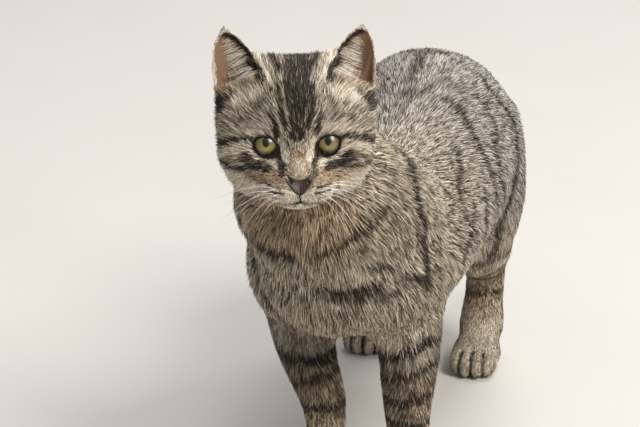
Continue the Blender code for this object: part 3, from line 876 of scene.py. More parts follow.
def scattered(mesh, weight, draw):
    """Even random places on the mesh: triangle numbers and shares of its three corners. Weight is for each vertex."""
    mesh.calc_loop_triangles()
    corners = np.empty(len(mesh.loop_triangles) * 3, dtype=np.int32)
    mesh.loop_triangles.foreach_get("vertices", corners)
    corners = corners.reshape(-1, 3)
    loops = np.empty(len(mesh.loop_triangles) * 3, dtype=np.int32)
    mesh.loop_triangles.foreach_get("loops", loops)
    loops = loops.reshape(-1, 3)
    points = coordinates(mesh)[corners]
    area = np.linalg.norm(np.cross(points[:, 1] - points[:, 0], points[:, 2] - points[:, 0]), axis=1) / 2
    expected = np.cumsum(area / MM**2 * weight[corners].mean(axis=1))
    picks = np.searchsorted(expected, np.arange(int(expected[-1])) + draw.random(int(expected[-1])))
    picks = np.minimum(picks, len(corners) - 1)
    first, second = draw.random((2, len(picks)))
    over = first + second > 1
    first[over], second[over] = 1 - first[over], 1 - second[over]
    shares = np.stack([1 - first - second, first, second], axis=1)
    return corners[picks], loops[picks], shares


def blended(values, corners, shares):
    if values.ndim == 1:
        return np.sum(values[corners] * shares, axis=1)
    return np.sum(values[corners] * shares[:, :, None], axis=1)


def locks(roots, size, seed):
    """Groups roots into small locks: for each root, the number of its lock."""
    cell = np.floor(roots / size + swirl(roots, size * 1.7, seed) * 0.6).astype(np.int64)
    _, number = np.unique(cell, axis=0, return_inverse=True)
    return number.ravel()


def gathered(values, number):
    """Each row's average over its lock."""
    count = np.bincount(number)
    mean = np.stack([np.bincount(number, column) / count for column in values.T], axis=1)
    return mean[number]


def tuft_mesh(name, tufts):
    """A mesh of tapered tufts, of a root pair, a middle pair and a tip each."""
    roots, normals, lies = tufts["roots"], tufts["normals"], tufts["lies"]
    length, lift, width = tufts["length"][:, None], tufts["lift"][:, None], tufts["width"][:, None]
    across = unit(np.cross(lies, normals) + normals * tufts["roll"][:, None])
    middle_point = roots + lies * length * 0.5 + normals * length * lift * 0.62
    tip = roots + lies * length + normals * length * lift * 0.8 + tufts["pull"]
    base = roots - normals * 0.25 * MM
    middle_point = middle_point + tufts["pull"] * 0.3
    root_half, middle_half = across * width * 0.5, across * width * 0.42
    corners = [base - root_half, base + root_half, middle_point - middle_half, middle_point + middle_half, tip]
    points = np.stack(corners, axis=1)
    points[:, :, 2] = np.maximum(points[:, :, 2], FLOOR_GAP)
    count = len(roots)
    mesh = bpy.data.meshes.new(name)
    mesh.vertices.add(count * 5)
    mesh.vertices.foreach_set("co", points.astype(np.float32).ravel())
    start = np.arange(count)[:, None] * 5
    loops = (start + np.array([0, 1, 3, 2, 2, 3, 4])).astype(np.int32)
    mesh.loops.add(count * 7)
    mesh.loops.foreach_set("vertex_index", loops.ravel())
    mesh.polygons.add(count * 2)
    begins = np.arange(count)[:, None] * 7 + np.array([0, 4])
    mesh.polygons.foreach_set("loop_start", begins.astype(np.int32).ravel())
    mesh.update(calc_edges=True)
    mesh.polygons.foreach_set("use_smooth", np.ones(count * 2, dtype=bool))

    sideways = np.array([-1, 1, -1, 1, 0])
    along = np.array([0, 0, 0.5, 0.5, 1])
    shading = unit(
        normals[:, None] * 0.9 + across[:, None] * (sideways * 0.45)[None, :, None] - lies[:, None] * 0.15
    )
    mesh.normals_split_custom_set_from_vertices(shading.reshape(-1, 3).astype(np.float32))
    strand = np.ones((count, 5, 4))
    strand[:, :, 0] = along
    strand[:, :, 1] = tufts["pick"][:, None]
    strand[:, :, 2] = tufts["lock"][:, None]
    store(mesh, "strand", "FLOAT_COLOR", strand)
    store(mesh, "marks", "FLOAT_COLOR", np.repeat(tufts["marks"], 5, axis=0))
    layer = mesh.uv_layers.new(name="OFBake")
    patch = np.stack([sideways, along * 2 - 1], axis=1) * PATCH
    places = (tufts["uv"][:, None] + patch[None]).reshape(-1, 2)
    layer.data.foreach_set("uv", places[loops.ravel()].astype(np.float32).ravel())
    return mesh


def coat_tufts(skin, settings):
    """Every tuft of the coat: where it is rooted, how it lies, its size and its colours."""
    mesh = skin.data
    draw = np.random.default_rng(7)
    points, normals = coordinates(mesh), normals_of(mesh)
    node = recall(mesh, "solid").round().astype(int)
    bare = recall(mesh, "bare")
    head = in_head(points)
    weight = recall(mesh, "tufts") * settings.fullness * (1 - bare)
    weight *= np.where((points[:, 2] < 1.2 * MM) & (normals[:, 2] < -0.5), 0, 1)
    for side in SIDES:
        offset, gap = about_eye(head, side)
        weight[(np.linalg.norm(offset, axis=1) < 16) & (offset[:, 1] < 2) & (gap < 0.7)] = 0
    weight *= 1 - leather_share(head)
    mouth, _ = stroke_distance(head[:, (0, 2)], MOUTH)
    weight[(mouth < 0.7) & (head[:, 1] < -12)] = 0
    corners, loops, shares = scattered(mesh, weight, draw)
    roots = blended(points, corners, shares)
    up = unit(blended(normals, corners, shares))
    lies = flat_on(blended(recall(mesh, "lie"), corners, shares), up)
    length = blended(recall(mesh, "length"), corners, shares) * MM * settings.length
    lift = blended(recall(mesh, "lift"), corners, shares)
    width = blended(recall(mesh, "breadth"), corners, shares) * MM
    count = len(roots)

    bend = swirl(roots, 7 * MM, 3) * 0.28 + swirl(roots, 2.5 * MM, 13) * 0.22 + draw.normal(0, 0.11, (count, 3))
    lies = flat_on(lies + bend, up)
    length *= 0.75 + 0.5 * draw.random(count)
    lift = lift * (0.6 + 0.8 * draw.random(count))
    width *= 0.7 + 0.6 * draw.random(count)
    size = np.clip(length * 0.42, 1.3 * MM, 4.5 * MM)
    number = locks(roots / size[:, None] * MM, MM, 17)
    tips = roots + lies * length[:, None]
    pull = (gathered(tips, number) - tips) * 0.35
    pull -= up * np.sum(pull * up, axis=1, keepdims=True)
    reach = np.linalg.norm(pull, axis=1, keepdims=True)
    pull *= np.minimum(1, 0.3 * length[:, None] / np.maximum(reach, 1e-9))
    lock_shade = draw.random(number.max() + 1)[number]

    face = in_head(roots)
    solid = node[corners[:, 0]]
    layer = mesh.uv_layers["OFBake"]
    flat = np.empty(len(layer.data) * 2, dtype=np.float32)
    layer.data.foreach_get("uv", flat)
    seen = roots + lies * length[:, None] * 0.55 + up * length[:, None] * lift[:, None] * 0.6
    marks = markings(seen + draw.normal(0, 0.07, (count, 3)) * np.clip(length, 4 * MM, 9 * MM)[:, None], solid)
    marks[:, 0] *= np.where(draw.random(count) < PALE_TICKS, 0.45, 1.0)
    marks[:, 0] = np.maximum(marks[:, 0], (draw.random(count) < DARK_TICKS) * 0.7)
    return {
        "roots": roots, "normals": up, "lies": lies, "length": length, "lift": lift, "width": width,
        "roll": draw.normal(0, 0.45, count), "pull": pull, "pick": draw.random(count), "lock": lock_shade,
        "marks": marks, "uv": blended(flat.reshape(-1, 2).astype(float), loops, shares), "solid": solid, "head": face,
    }


def edge_places(edge, shares, inset, inward):
    """Places along an edge at shares of its length, moved off it to its inner side, and the way along it."""
    edge = np.asarray(edge, float)
    steps = np.linalg.norm(np.diff(edge, axis=0), axis=1)
    marks = np.concatenate([[0], np.cumsum(steps)]) / steps.sum()
    places = np.stack([np.interp(shares, marks, column) for column in edge.T], axis=1)
    ahead = np.stack([np.interp(np.minimum(shares + 0.04, 1), marks, column) for column in edge.T], axis=1)
    behind = np.stack([np.interp(np.maximum(shares - 0.04, 0), marks, column) for column in edge.T], axis=1)
    along = unit(ahead - behind)
    across = np.stack([-along[:, 1], along[:, 0]], axis=1) * inward
    return places + across * inset[:, None], along


def ear_hair(skin):
    """Long pale hairs from the crown's side of each ear out over its cup, and short ones along its rims."""
    mesh = skin.data
    tree = skin_tree()
    draw = np.random.default_rng(19)
    layer = mesh.uv_layers["OFBake"].data
    rows = []
    for side in (1, -1):
        groups = (
            # edge, inner side, number of hairs, shares of the edge, inset, length, spread of lengths, kind
            (EAR_INNER_EDGE, -1, 190, (0.10, 0.86), (3.5, 9.5), (6.0, 17.0), "fringe"),
            (EAR_INNER_EDGE, -1, 130, (0.02, 0.55), (3.0, 8.0), (6.0, 14.0), "fringe"),
            (EAR_INNER_EDGE, -1, 420, (0.0, 0.86), (-0.2, 1.0), (2.0, 3.2), "rim"),
            (EAR_OUTER_EDGE[::-1], 1, 380, (0.0, 0.86), (0.0, 0.9), (1.4, 2.4), "rim"),
        )
        for edge, inward, count, span, insets, lengths, kind in groups:
            shares = span[0] + (span[1] - span[0]) * draw.random(count)
            inset = insets[0] + (insets[1] - insets[0]) * draw.random(count)
            places, along = edge_places(edge, shares, inset, inward)
            length = lengths[0] + (lengths[1] - lengths[0]) * draw.random(count)
            turns = draw.normal(0, 1, (count, 3))
            picks = draw.random((count, 3))
            for place, way, share, long, turn, pick in zip(places, along, shares, length, turns, picks):
                start = out_of_head((place[0] * side + 0.2, -60, place[1]))
                spot, normal, index, _ = tree.ray_cast(start.tolist(), (HEAD_AXES @ np.array((0, 1, 0))).tolist())
                if spot is None or in_head(np.array(spot)[None])[0, 1] > 36:
                    continue
                if kind == "fringe":
                    droop = 0.75 - 0.35 * share + 0.2 * turn[2]
                    lie = np.array((1.0, 0.34 + 0.12 * turn[1], -droop))
                    marks = (0.25 * (pick[1] < 0.2), 0.3, 1.0 if pick[1] > 0.45 else 0.4, 0.0)
                    long *= 1 - 0.45 * max(share - 0.6, 0) / 0.4
                    width, lift = 0.24, 0.12
                else:
                    outward = np.array((way[1], -way[0])) * inward
                    plan = way * 0.9 + outward * (0.1 + 0.14 * turn[0])
                    lie = np.array((plan[0], 0.1 + 0.2 * turn[1], plan[1]))
                    marks = (0.0, 0.25, 0.85, 0.0)
                    width, lift = 0.26, 0.04
                lie = unit(lie * (side, 1, 1))
                loops = mesh.polygons[index].loop_indices
                patch = np.mean([layer[loop].uv for loop in loops], axis=0)
                size = long * MM, lift, width * MM
                spring = np.array(spot), np.array(normal), HEAD_AXES @ lie
                rows.append((*spring, *size, turn[0] * 0.3, *pick[::2], patch, marks))
    columns = [np.array(column, float) for column in zip(*rows)]
    roots, normals, lies, length, lift, width, roll, pick, lock, uv, marks = columns
    facing = unit(normals + HEAD_AXES @ np.array((0, -1.2, 0.2)))
    return {
        "roots": roots, "normals": facing, "lies": lies, "length": length, "lift": lift, "width": width,
        "roll": roll, "pull": np.zeros_like(roots), "pick": 0.45 + 0.55 * pick, "lock": lock,
        "marks": marks, "uv": uv,
    }


def leather_share(head):
    """Share of the nose's leather at each place, where no coat grows."""
    plan = head[:, (0, 2)]
    inside = np.hypot((plan[:, 0] - 0.4) / 7.6, (plan[:, 1] + 19.4) / 4.6)
    return (1 - ramp(inside, 0.75, 1.0)) * (head[:, 1] < -17)


def build_coat(settings):
    """Makes each piece of the coat from the tufts that are rooted in its part of the skin."""
    skin = bpy.data.objects["skin"]
    tufts = coat_tufts(skin, settings)
    material = coat_material(settings)
    for name, rule in COAT_PIECES.items():
        chosen = rule(tufts["solid"], tufts["head"], tufts["roots"])
        part = {key: values[chosen] for key, values in tufts.items()}
        shown(name, tuft_mesh(name, part), material)
    shown("coat_ear_fringe", tuft_mesh("coat_ear_fringe", ear_hair(skin)), material)


# Materials


def node(tree, kind, inputs=None, **settings):
    """Adds a node with its settings, and fills or links its inputs."""
    made = tree.nodes.new(kind)
    for name, value in settings.items():
        setattr(made, name, value)
    for name, value in (inputs or {}).items():
        if isinstance(value, bpy.types.NodeSocket):
            tree.links.new(value, made.inputs[name])
        else:
            made.inputs[name].default_value = value
    return made


def mixed(tree, share, first, second, blend="MIX"):
    """The colour between two colours."""
    made = node(tree, "ShaderNodeMix", {0: share, 6: first, 7: second}, data_type="RGBA", blend_type=blend)
    return made.outputs[2]


def figured(tree, operation, *values):
    made = node(tree, "ShaderNodeMath", dict(enumerate(values)), operation=operation)
    return made.outputs[0]


def hypotenuse(tree, x, y):
    squares = figured(tree, "ADD", figured(tree, "MULTIPLY", x, x), figured(tree, "MULTIPLY", y, y))
    return figured(tree, "SQRT", squares)


def new_material(name):
    material = bpy.data.materials.get(name)
    if material:
        bpy.data.materials.remove(material)
    material = bpy.data.materials.new(name)
    material.use_nodes = True
    tree = material.node_tree
    return material, tree, tree.nodes["Principled BSDF"]


def coat_colour(tree, settings, light):
    """The tabby's colours from the marks kept on the mesh. Light is 0 for the dark of each colour to 1 for its pale."""
    marks = node(tree, "ShaderNodeAttribute", attribute_name="marks")
    split = node(tree, "ShaderNodeSeparateColor", {0: marks.outputs["Color"]})
    dark_ground = mixed(tree, marks.outputs["Alpha"], linear("#332b24"), linear("#46413d"))
    pale_ground = mixed(tree, marks.outputs["Alpha"], settings.ground, linear("#c3bab0"))
    ground = mixed(tree, light, dark_ground, pale_ground)
    tan = mixed(tree, light, linear("#6b5038"), settings.tan)
    cream = mixed(tree, light, linear("#bba98f"), settings.cream)
    stripe = mixed(tree, figured(tree, "POWER", light, 2.5), settings.stripe, linear("#54483b"))
    colour = mixed(tree, split.outputs[1], ground, tan)
    colour = mixed(tree, split.outputs[2], colour, cream)
    return mixed(tree, split.outputs[0], colour, stripe)


def coat_material(settings):
    """Cat's guard hair in small locks: pale bands and dark tips side by side, dull, with a faint sheen."""
    material, tree, shader = new_material("tabby_guard_hair")
    strand = node(tree, "ShaderNodeAttribute", attribute_name="strand")
    split = node(tree, "ShaderNodeSeparateColor", {0: strand.outputs["Color"]})
    along, pick, lock = split.outputs
    band = node(tree, "ShaderNodeMapRange", {0: along, 1: 0.0, 2: 0.7, 3: 0.35, 4: 1.0})
    choice = node(tree, "ShaderNodeMapRange", {0: pick, 1: 0.2, 2: 0.8, 3: 0.0, 4: 1.0})
    light = figured(tree, "MULTIPLY", choice.outputs[0], band.outputs[0])
    light = figured(tree, "ADD", light, figured(tree, "MULTIPLY_ADD", lock, 0.5, -0.22))
    light = figured(tree, "MINIMUM", figured(tree, "MAXIMUM", light, 0.0), 1.0)
    colour = coat_colour(tree, settings, light)
    tree.links.new(colour, shader.inputs["Base Color"])
    shader.inputs["Roughness"].default_value = 0.62
    shader.inputs["Specular IOR Level"].default_value = 0.18
    shader.inputs["Sheen Weight"].default_value = 0.05
    shader.inputs["Sheen Roughness"].default_value = 0.5
    return material


def skin_material(settings):
    """The undercoat close to the skin: soft and matt, with a fine nap, and darkened with painted shade for lying deep
    among the tufts; bare pink skin within the ears.
    """
    material, tree, shader = new_material("undercoat_in_painted_shade_and_skin")
    place = node(tree, "ShaderNodeTexCoord")
    # a nap of about 1 mm, coarser than single hairs
    grain = {"Vector": place.outputs["Object"], "Scale": 900.0, "Detail": 3.0, "Roughness": 0.6}
    nap = node(tree, "ShaderNodeTexNoise", grain)
    light = node(tree, "ShaderNodeMapRange", {0: nap.outputs["Fac"], 1: 0.3, 2: 0.7, 3: 0.0, 4: 0.75})
    colour = coat_colour(tree, settings, light.outputs[0])
    # painted shade: the coat's colours darkened towards dark brown, as the undercoat lies in shade among the tufts
    colour = mixed(tree, 0.35, colour, linear("#2e2723"))
    bare = node(tree, "ShaderNodeAttribute", attribute_name="bare")
    flush = mixed(tree, nap.outputs["Fac"], linear("#6a5040"), linear("#94755c"))
    colour = mixed(tree, bare.outputs["Fac"], colour, flush)
    tree.links.new(colour, shader.inputs["Base Color"])
    bump = node(tree, "ShaderNodeBump", {"Strength": 0.5, "Distance": 0.4 * MM, "Height": nap.outputs["Fac"]})
    tree.links.new(bump.outputs[0], shader.inputs["Normal"])
    shader.inputs["Roughness"].default_value = 0.8
    shader.inputs["Specular IOR Level"].default_value = 0.2
    return material


# Eyes


def eye_gaze(side):
    """The way an eye looks: at someone who stands before the cat, a little above."""
    gaze = Vector(camera_place()) - EYE_PLACES[side]
    gaze = gaze.normalized()
    lift = Matrix.Rotation(math.radians(-9), 4, gaze.cross(Vector((0, 0, 1))))
    raised = lift @ gaze
    return raised if raised.z > gaze.z else lift.inverted() @ gaze


# Rings of the eyeball, in degrees from the middle of its cornea, and the spokes that cross them
EYE_RINGS = (0, 4, 8, 12, 16, 20, 24, 28, 32, 36, 40, 44, 48, 53, 60, 70, 85, 105, 130, 155, 180)
EYE_SPOKES = 64
# The ball is a little smaller than its solid; the cornea rises by a share of it, out to the last ring given
BALL_SHARE, CORNEA_RISE, CORNEA_EDGE = 0.985, 0.045, 50


def build_eyes(settings):
    """Each eyeball as a ball with a raised cornea; its middle is the pupil."""
    material = eye_material(settings)
    for side in SIDES:
        bm = bmesh.new()
        loops = []
        for angle in EYE_RINGS:
            turn = math.radians(angle)
            bulge = 1 if angle > CORNEA_EDGE else 1 + CORNEA_RISE * float(1 - ramp(angle, 20, 46))
            reach = BALL_RADIUS * (bulge * BALL_SHARE)
            if angle in (0, 180):
                loops.append([bm.verts.new((0, 0, reach * math.cos(turn)))])
                continue
            circle = []
            for step in range(EYE_SPOKES):
                bearing = step / EYE_SPOKES * 2 * math.pi
                flat = reach * math.sin(turn)
                place = flat * math.cos(bearing), flat * math.sin(bearing), reach * math.cos(turn)
                circle.append(bm.verts.new(place))
            loops.append(circle)
        for inner, outer in zip(loops[:-1], loops[1:]):
            for step in range(EYE_SPOKES):
                after = (step + 1) % EYE_SPOKES
                outwards = inner[step % len(inner)], outer[step % len(outer)]
                inwards = outer[after % len(outer)], inner[after % len(inner)]
                bm.faces.new(list(dict.fromkeys(outwards + inwards)))
        mesh = bpy.data.meshes.new(f"eyeball_{side}")
        bmesh.ops.recalc_face_normals(bm, faces=bm.faces)
        for face in bm.faces:
            face.smooth = True
        bm.to_mesh(mesh)
        bm.free()
        local = coordinates(mesh) / MM
        store(mesh, "iris", "FLOAT_VECTOR", local)
        gaze = eye_gaze(side)
        across = gaze.cross(Vector((0, 0, 1))).normalized()
        upward = across.cross(gaze).normalized()
        turn = Matrix((across, upward, gaze)).transposed().to_4x4()
        mesh.transform(Matrix.Translation(EYE_PLACES[side]) @ turn)
        shown(f"eyeball_{side}", mesh, material, (f"eye_{side}",))


def eye_material(settings):
    """A wet eye: olive iris with fine spokes, darker at the top with a painted shadow of the upper lid and paler and
    yellower low down, an upright pupil and a clear wet gloss.
    """
    material, tree, shader = new_material("wet_eye")
    local = node(tree, "ShaderNodeAttribute", attribute_name="iris")
    split = node(tree, "ShaderNodeSeparateXYZ", {0: local.outputs["Vector"]})
    x, y = split.outputs[:2]
    radius = hypotenuse(tree, x, y)
    wide = figured(tree, "DIVIDE", x, settings.pupil_width / MM / 2)
    tall = figured(tree, "DIVIDE", y, settings.pupil_height / MM / 2)
    pupil = hypotenuse(tree, wide, tall)
    in_pupil = node(tree, "ShaderNodeMapRange", {0: pupil, 1: 0.92, 2: 1.12, 3: 1.0, 4: 0.0})
    bearing = figured(tree, "ARCTAN2", y, x)
    around, outwards = figured(tree, "MULTIPLY", bearing, 9.0), figured(tree, "MULTIPLY", radius, 0.5)
    spoke_place = node(tree, "ShaderNodeCombineXYZ", {0: around, 1: outwards})
    spokes = node(tree, "ShaderNodeTexNoise", {"Vector": spoke_place.outputs[0], "Scale": 2.2, "Detail": 3.0})
    # painted shadow: the iris darker towards its top, where the upper lid's shadow falls, and paler and yellower below
    low = node(tree, "ShaderNodeMapRange", {0: y, 1: 2.0, 2: -5.0, 3: 0.0, 4: 1.0})
    iris = mixed(tree, low.outputs[0], settings.iris_in_lid_shadow, settings.iris_lower)
    iris = mixed(tree, figured(tree, "MULTIPLY", spokes.outputs["Fac"], 0.45), iris, linear("#3a3218"))
    rim = node(tree, "ShaderNodeMapRange", {0: radius, 1: 4.6, 2: 6.4, 3: 0.0, 4: 1.0})
    iris = mixed(tree, rim.outputs[0], iris, linear("#1c1712"))
    colour = mixed(tree, in_pupil.outputs[0], iris, linear("#050505"))
    tree.links.new(colour, shader.inputs["Base Color"])
    shader.inputs["Roughness"].default_value = 0.35
    shader.inputs["Specular IOR Level"].default_value = 0.3
    shader.inputs["Coat Weight"].default_value = 1.0
    shader.inputs["Coat Roughness"].default_value = 0.02
    shader.inputs["Coat IOR"].default_value = 1.38
    return material


def tube(bm, path, radii, sides=6, up=(0, 0, 1)):
    """A tapered tube along a path, closed at its ends."""
    path = np.asarray(path, float)
    ways = unit(np.gradient(path, axis=0))
    circles = []
    across = unit(np.cross(ways[0], up))
    for place, way, radius in zip(path, ways, radii):
        across = unit(across - way * (across @ way))
        other = np.cross(way, across)
        angles = np.arange(sides) / sides * 2 * math.pi
        circle = place + radius * (np.cos(angles)[:, None] * across + np.sin(angles)[:, None] * other)
        circles.append([bm.verts.new(corner) for corner in circle])
    for first, second in zip(circles[:-1], circles[1:]):
        for step in range(sides):
            after = (step + 1) % sides
            bm.faces.new((first[step], first[after], second[after], second[step]))
    bm.faces.new(circles[0][::-1])
    bm.faces.new(circles[-1])


def closed_tube(bm, path, radii, sides=10):
    """A tube along a closed path, with no ends."""
    path = np.asarray(path, float)
    ways = unit(np.roll(path, -1, axis=0) - np.roll(path, 1, axis=0))
    centre = path.mean(axis=0)
    circles = []
    for place, way, radius in zip(path, ways, radii):
        outward = place - centre
        outward = unit(outward - way * (outward @ way))
        other = np.cross(way, outward)
        angles = np.arange(sides) / sides * 2 * math.pi
        circle = place + radius * (np.cos(angles)[:, None] * outward + np.sin(angles)[:, None] * other)
        circles.append([bm.verts.new(corner) for corner in circle])
    for first, second in zip(circles, circles[1:] + circles[:1]):
        for step in range(sides):
            after = (step + 1) % sides
            bm.faces.new((first[step], first[after], second[after], second[step]))


def finished(bm, name):
    bmesh.ops.recalc_face_normals(bm, faces=bm.faces)
    for face in bm.faces:
        face.smooth = True
    mesh = bpy.data.meshes.new(name)
    bm.to_mesh(mesh)
    bm.free()
    return mesh


# The dark point at the eye's inner corner: millimetres from the corner to the outside, back and up, and its radii
TEAR_LINE = ((0.4, -0.1, 0.1), (-0.9, -0.5, -0.7), (-1.6, -0.9, -1.7), (-1.9, -1.3, -2.8))
TEAR_RADII = (0.8, 0.75, 0.5, 0.2)


def build_lids(settings):
    """The dark wet rims of the lids, drawn out to a point at the inner corner."""
    bm = bmesh.new()
    ball = BALL_RADIUS / MM
    for side, sign in SIDES.items():
        eye = eye_in_head(side)
        outline = lid_outline(72)
        reach = ball + 0.1
        ahead = -np.sqrt(np.maximum(reach**2 - np.sum(outline**2, axis=1), 4.0))
        path = np.stack([outline[:, 0] * sign, ahead, outline[:, 1]], axis=1) + eye
        radii = np.full(len(path), settings.rim / MM / 2)
        closed_tube(bm, out_of_head(path), radii * MM)
        corner = path[np.argmin(path[:, 0] * sign)]
        tear = corner + np.array(TEAR_LINE) * (sign, 1, 1)
        tube(bm, out_of_head(tear), np.array(TEAR_RADII) * MM, 8)
    shown("lid_rims", finished(bm, "lid_rims"), rim_material())


def rim_material():
    """The hairless rims of the lids: black-brown skin, moist, so it takes small soft lights."""
    material, tree, shader = new_material("moist_lid_skin")
    place = node(tree, "ShaderNodeTexCoord")
    # fine wrinkles, under 1 mm apart
    grain = node(tree, "ShaderNodeTexNoise", {"Vector": place.outputs["Object"], "Scale": 1500.0, "Detail": 2.0})
    colour = mixed(tree, grain.outputs["Fac"], linear("#0b0807"), linear("#191210"))
    tree.links.new(colour, shader.inputs["Base Color"])
    shader.inputs["Roughness"].default_value = 0.7
    shader.inputs["Specular IOR Level"].default_value = 0.15
    return material


# Nose and whiskers

NOSE_OUTLINE = (
    # to the side and up, in millimetres, down one side of the leather
    (0.0, -16.6), (2.2, -16.3), (4.4, -15.3), (6.2, -13.6), (7.6, -12.7), (8.5, -13.6),
    (8.5, -15.4), (7.6, -17.2), (6.0, -19.4), (4.0, -21.9), (2.0, -24.2), (0.0, -25.6),
)


def skin_tree():
    mesh = bpy.data.objects["skin"].data
    return BVHTree.FromPolygons(coordinates(mesh).tolist(), [face.vertices[:] for face in mesh.polygons])


def on_skin(tree, side, up):
    """The place on the face, in head millimetres, straight back from a point before it."""
    start = out_of_head((side, -60, up))
    way = HEAD_AXES @ np.array((0, 1, 0))
    place = tree.ray_cast(start.tolist(), way.tolist())[0]
    return in_head(np.array(place)[None])[0]


def build_nose(settings):
    """The nose's leather: a soft triangle with a comma-shaped nostril on each side and a groove down its middle."""
    tree = skin_tree()
    half = np.array(NOSE_OUTLINE)
    outline = np.concatenate([half, (half * (-1, 1))[-2:0:-1]])
    outline[:, 0] += 0.4
    fine = []
    for start, end in zip(outline, np.roll(outline, -1, axis=0)):
        fine += [start + (end - start) * share for share in np.arange(6) / 6]
    outline = np.array(fine)
    for _ in range(6):
        outline = (np.roll(outline, 1, axis=0) + 2 * outline + np.roll(outline, -1, axis=0)) / 4
    centre = np.array((0.4, -18.6))
    edge_depth = np.array([on_skin(tree, *place)[1] for place in outline])
    middle_depth = on_skin(tree, *centre)[1]
    bm = bmesh.new()
    verts = []
    for share in np.linspace(1.0, 0.0, 22)[:-1]:
        plan = centre + (outline - centre) * share
        flat = edge_depth * share**1.5 + middle_depth * (1 - share**1.5)
        rise = settings.leather / MM * (1 - share**6) ** 0.5
        depth = np.minimum(flat, np.array([on_skin(tree, *place)[1] for place in plan])) - rise
        groove = 0.35 * np.exp(-(((plan[:, 0] - 0.4) / 0.5) ** 2)) * ramp(-plan[:, 1], 18, 23)
        depth = depth + nostril_depth(plan) + groove
        if share > 0.999:
            depth = edge_depth + 0.6
        places = np.stack([plan[:, 0], depth, plan[:, 1]], axis=1)
        verts.append([bm.verts.new(place) for place in out_of_head(places)])
    tip = bm.verts.new(out_of_head((centre[0], middle_depth - settings.leather / MM, centre[1])))
    for outer, inner in zip(verts[:-1], verts[1:]):
        for step in range(len(outer)):
            after = (step + 1) % len(outer)
            bm.faces.new((outer[step], outer[after], inner[after], inner[step]))
    for step in range(len(verts[-1])):
        bm.faces.new((verts[-1][step], verts[-1][(step + 1) % len(verts[-1])], tip))
    back = bm.verts.new(out_of_head((centre[0], middle_depth + 1.5, centre[1])))
    for step in range(len(verts[0])):
        bm.faces.new((verts[0][(step + 1) % len(verts[0])], verts[0][step], back))
    mesh = finished(bm, "nose_leather")
    local = in_head(coordinates(mesh))
    store(mesh, "hollow", "FLOAT", np.clip(nostril_depth(local[:, (0, 2)]) / 0.6, 0, 1))
    middle_share = np.exp(-(((local[:, 0] - 0.4) / 3.4) ** 2) - ((local[:, 2] + 19.0) / 2.6) ** 2)
    store(mesh, "worn", "FLOAT", middle_share)
    shown("nose_leather", mesh, nose_material(settings), ("nose",))


def nostril_depth(plan):
    """How deep the nostrils go at each place, in millimetres."""
    depth = np.zeros(len(plan))
    for side in (1, -1):
        line = ((5.0 * side + 0.4, -17.6), (6.4 * side + 0.4, -15.9), (7.4 * side + 0.4, -14.6))
        distance, along = stroke_distance(plan, line)
        depth += 0.95 * np.exp(-((distance / (0.75 + 0.02 * along)) ** 2))
    return depth


def nose_material(settings):
    """Nose leather: pebbled dark skin, reddish where it is thin, a little moist; its nostrils darkened to near black
    with painted shade.
    """
    material, tree, shader = new_material("nose_leather")
    place = node(tree, "ShaderNodeTexCoord")
    # pebbles of about 0.5 mm
    pebbles = node(tree, "ShaderNodeTexVoronoi", {"Vector": place.outputs["Object"], "Scale": 2000.0})
    hollow = node(tree, "ShaderNodeAttribute", attribute_name="hollow")
    worn = node(tree, "ShaderNodeAttribute", attribute_name="worn")
    colour = mixed(tree, worn.outputs["Fac"], linear("#140c0a"), settings.leather_colour)
    # painted shade: the nostrils darkened to near black, for the shade deep inside them
    colour = mixed(tree, hollow.outputs["Fac"], colour, linear("#060404"))
    tree.links.new(colour, shader.inputs["Base Color"])
    relief = {"Strength": 0.35, "Distance": 0.15 * MM, "Height": pebbles.outputs["Distance"]}
    bump = node(tree, "ShaderNodeBump", relief)
    tree.links.new(bump.outputs[0], shader.inputs["Normal"])
    shader.inputs["Roughness"].default_value = 0.5
    return material


WHISKERS = (
    # root to the side and up, tip to the side, back and up, sag, all in millimetres
    (17.5, -19.8, 46, 0, -27, 4),
    (15.0, -20.4, 52, -2, -33, 5),
    (12.5, -20.8, 40, -18, -36, 4),
    (17.0, -23.0, 45, -4, -37, 5),
    (14.0, -23.4, 47, -8, -44, 6),
    (11.5, -23.8, 36, -20, -46, 5),
    (16.0, -25.6, 40, -6, -42, 4),
    (13.5, -26.4, 34, -12, -50, 5),
    (11.0, -27.0, 26, -20, -46, 4),
    (19.0, -21.5, 38, 6, -30, 3),
    (18.5, -24.5, 34, 4, -40, 3),
)
BROW_HAIRS = ((15, 11.5, 24, -14, 24), (17, 12.5, 29, -10, 27), (20, 13, 34, -8, 24), (13.5, 10.5, 18, -18, 22))


def bow(root, through, tip, shares):
    """A curve from root to tip that bends towards a third point."""
    weights = (1 - shares) ** 2, 2 * shares * (1 - shares), shares**2
    return sum(weight[:, None] * place for weight, place in zip(weights, (root, through, tip)))


def build_whiskers(settings):
    """Long stiff white hairs that taper to a point, and finer ones over the eyes."""
    tree = skin_tree()
    draw = np.random.default_rng(5)
    bm = bmesh.new()
    shares = np.linspace(0, 1, 13)
    for side in (1, -1):
        for across, up, tip_side, tip_back, tip_up, sag in WHISKERS:
            root = on_skin(tree, across * side + 0.4, up)
            tip = np.array((tip_side * side, tip_back, tip_up)) + draw.normal(0, 1.6, 3)
            out = root + np.array((6.0 * side, -6.0, 0.5))
            path = bow(root, out * 0.6 + (root + tip) / 2 * 0.4, tip, shares)
            path[:, 2] += 0.5 * sag * np.sin(shares * math.pi)
            radii = settings.whisker / 2 * (1 - 0.85 * shares)
            tube(bm, out_of_head(path), radii, 5)
        for across, up, tip_side, tip_back, tip_up in BROW_HAIRS:
            root = on_skin(tree, across * side, up)
            tip = np.array((tip_side * side, tip_back, tip_up)) + draw.normal(0, 1.0, 3)
            out = root * 0.5 + tip * 0.5 + np.array((0, -3.0, 2.0))
            path = bow(root, out, tip, shares)
            tube(bm, out_of_head(path), settings.whisker * 0.28 * (1 - 0.8 * shares), 5)
    shown("whiskers", finished(bm, "whiskers"), whisker_material())


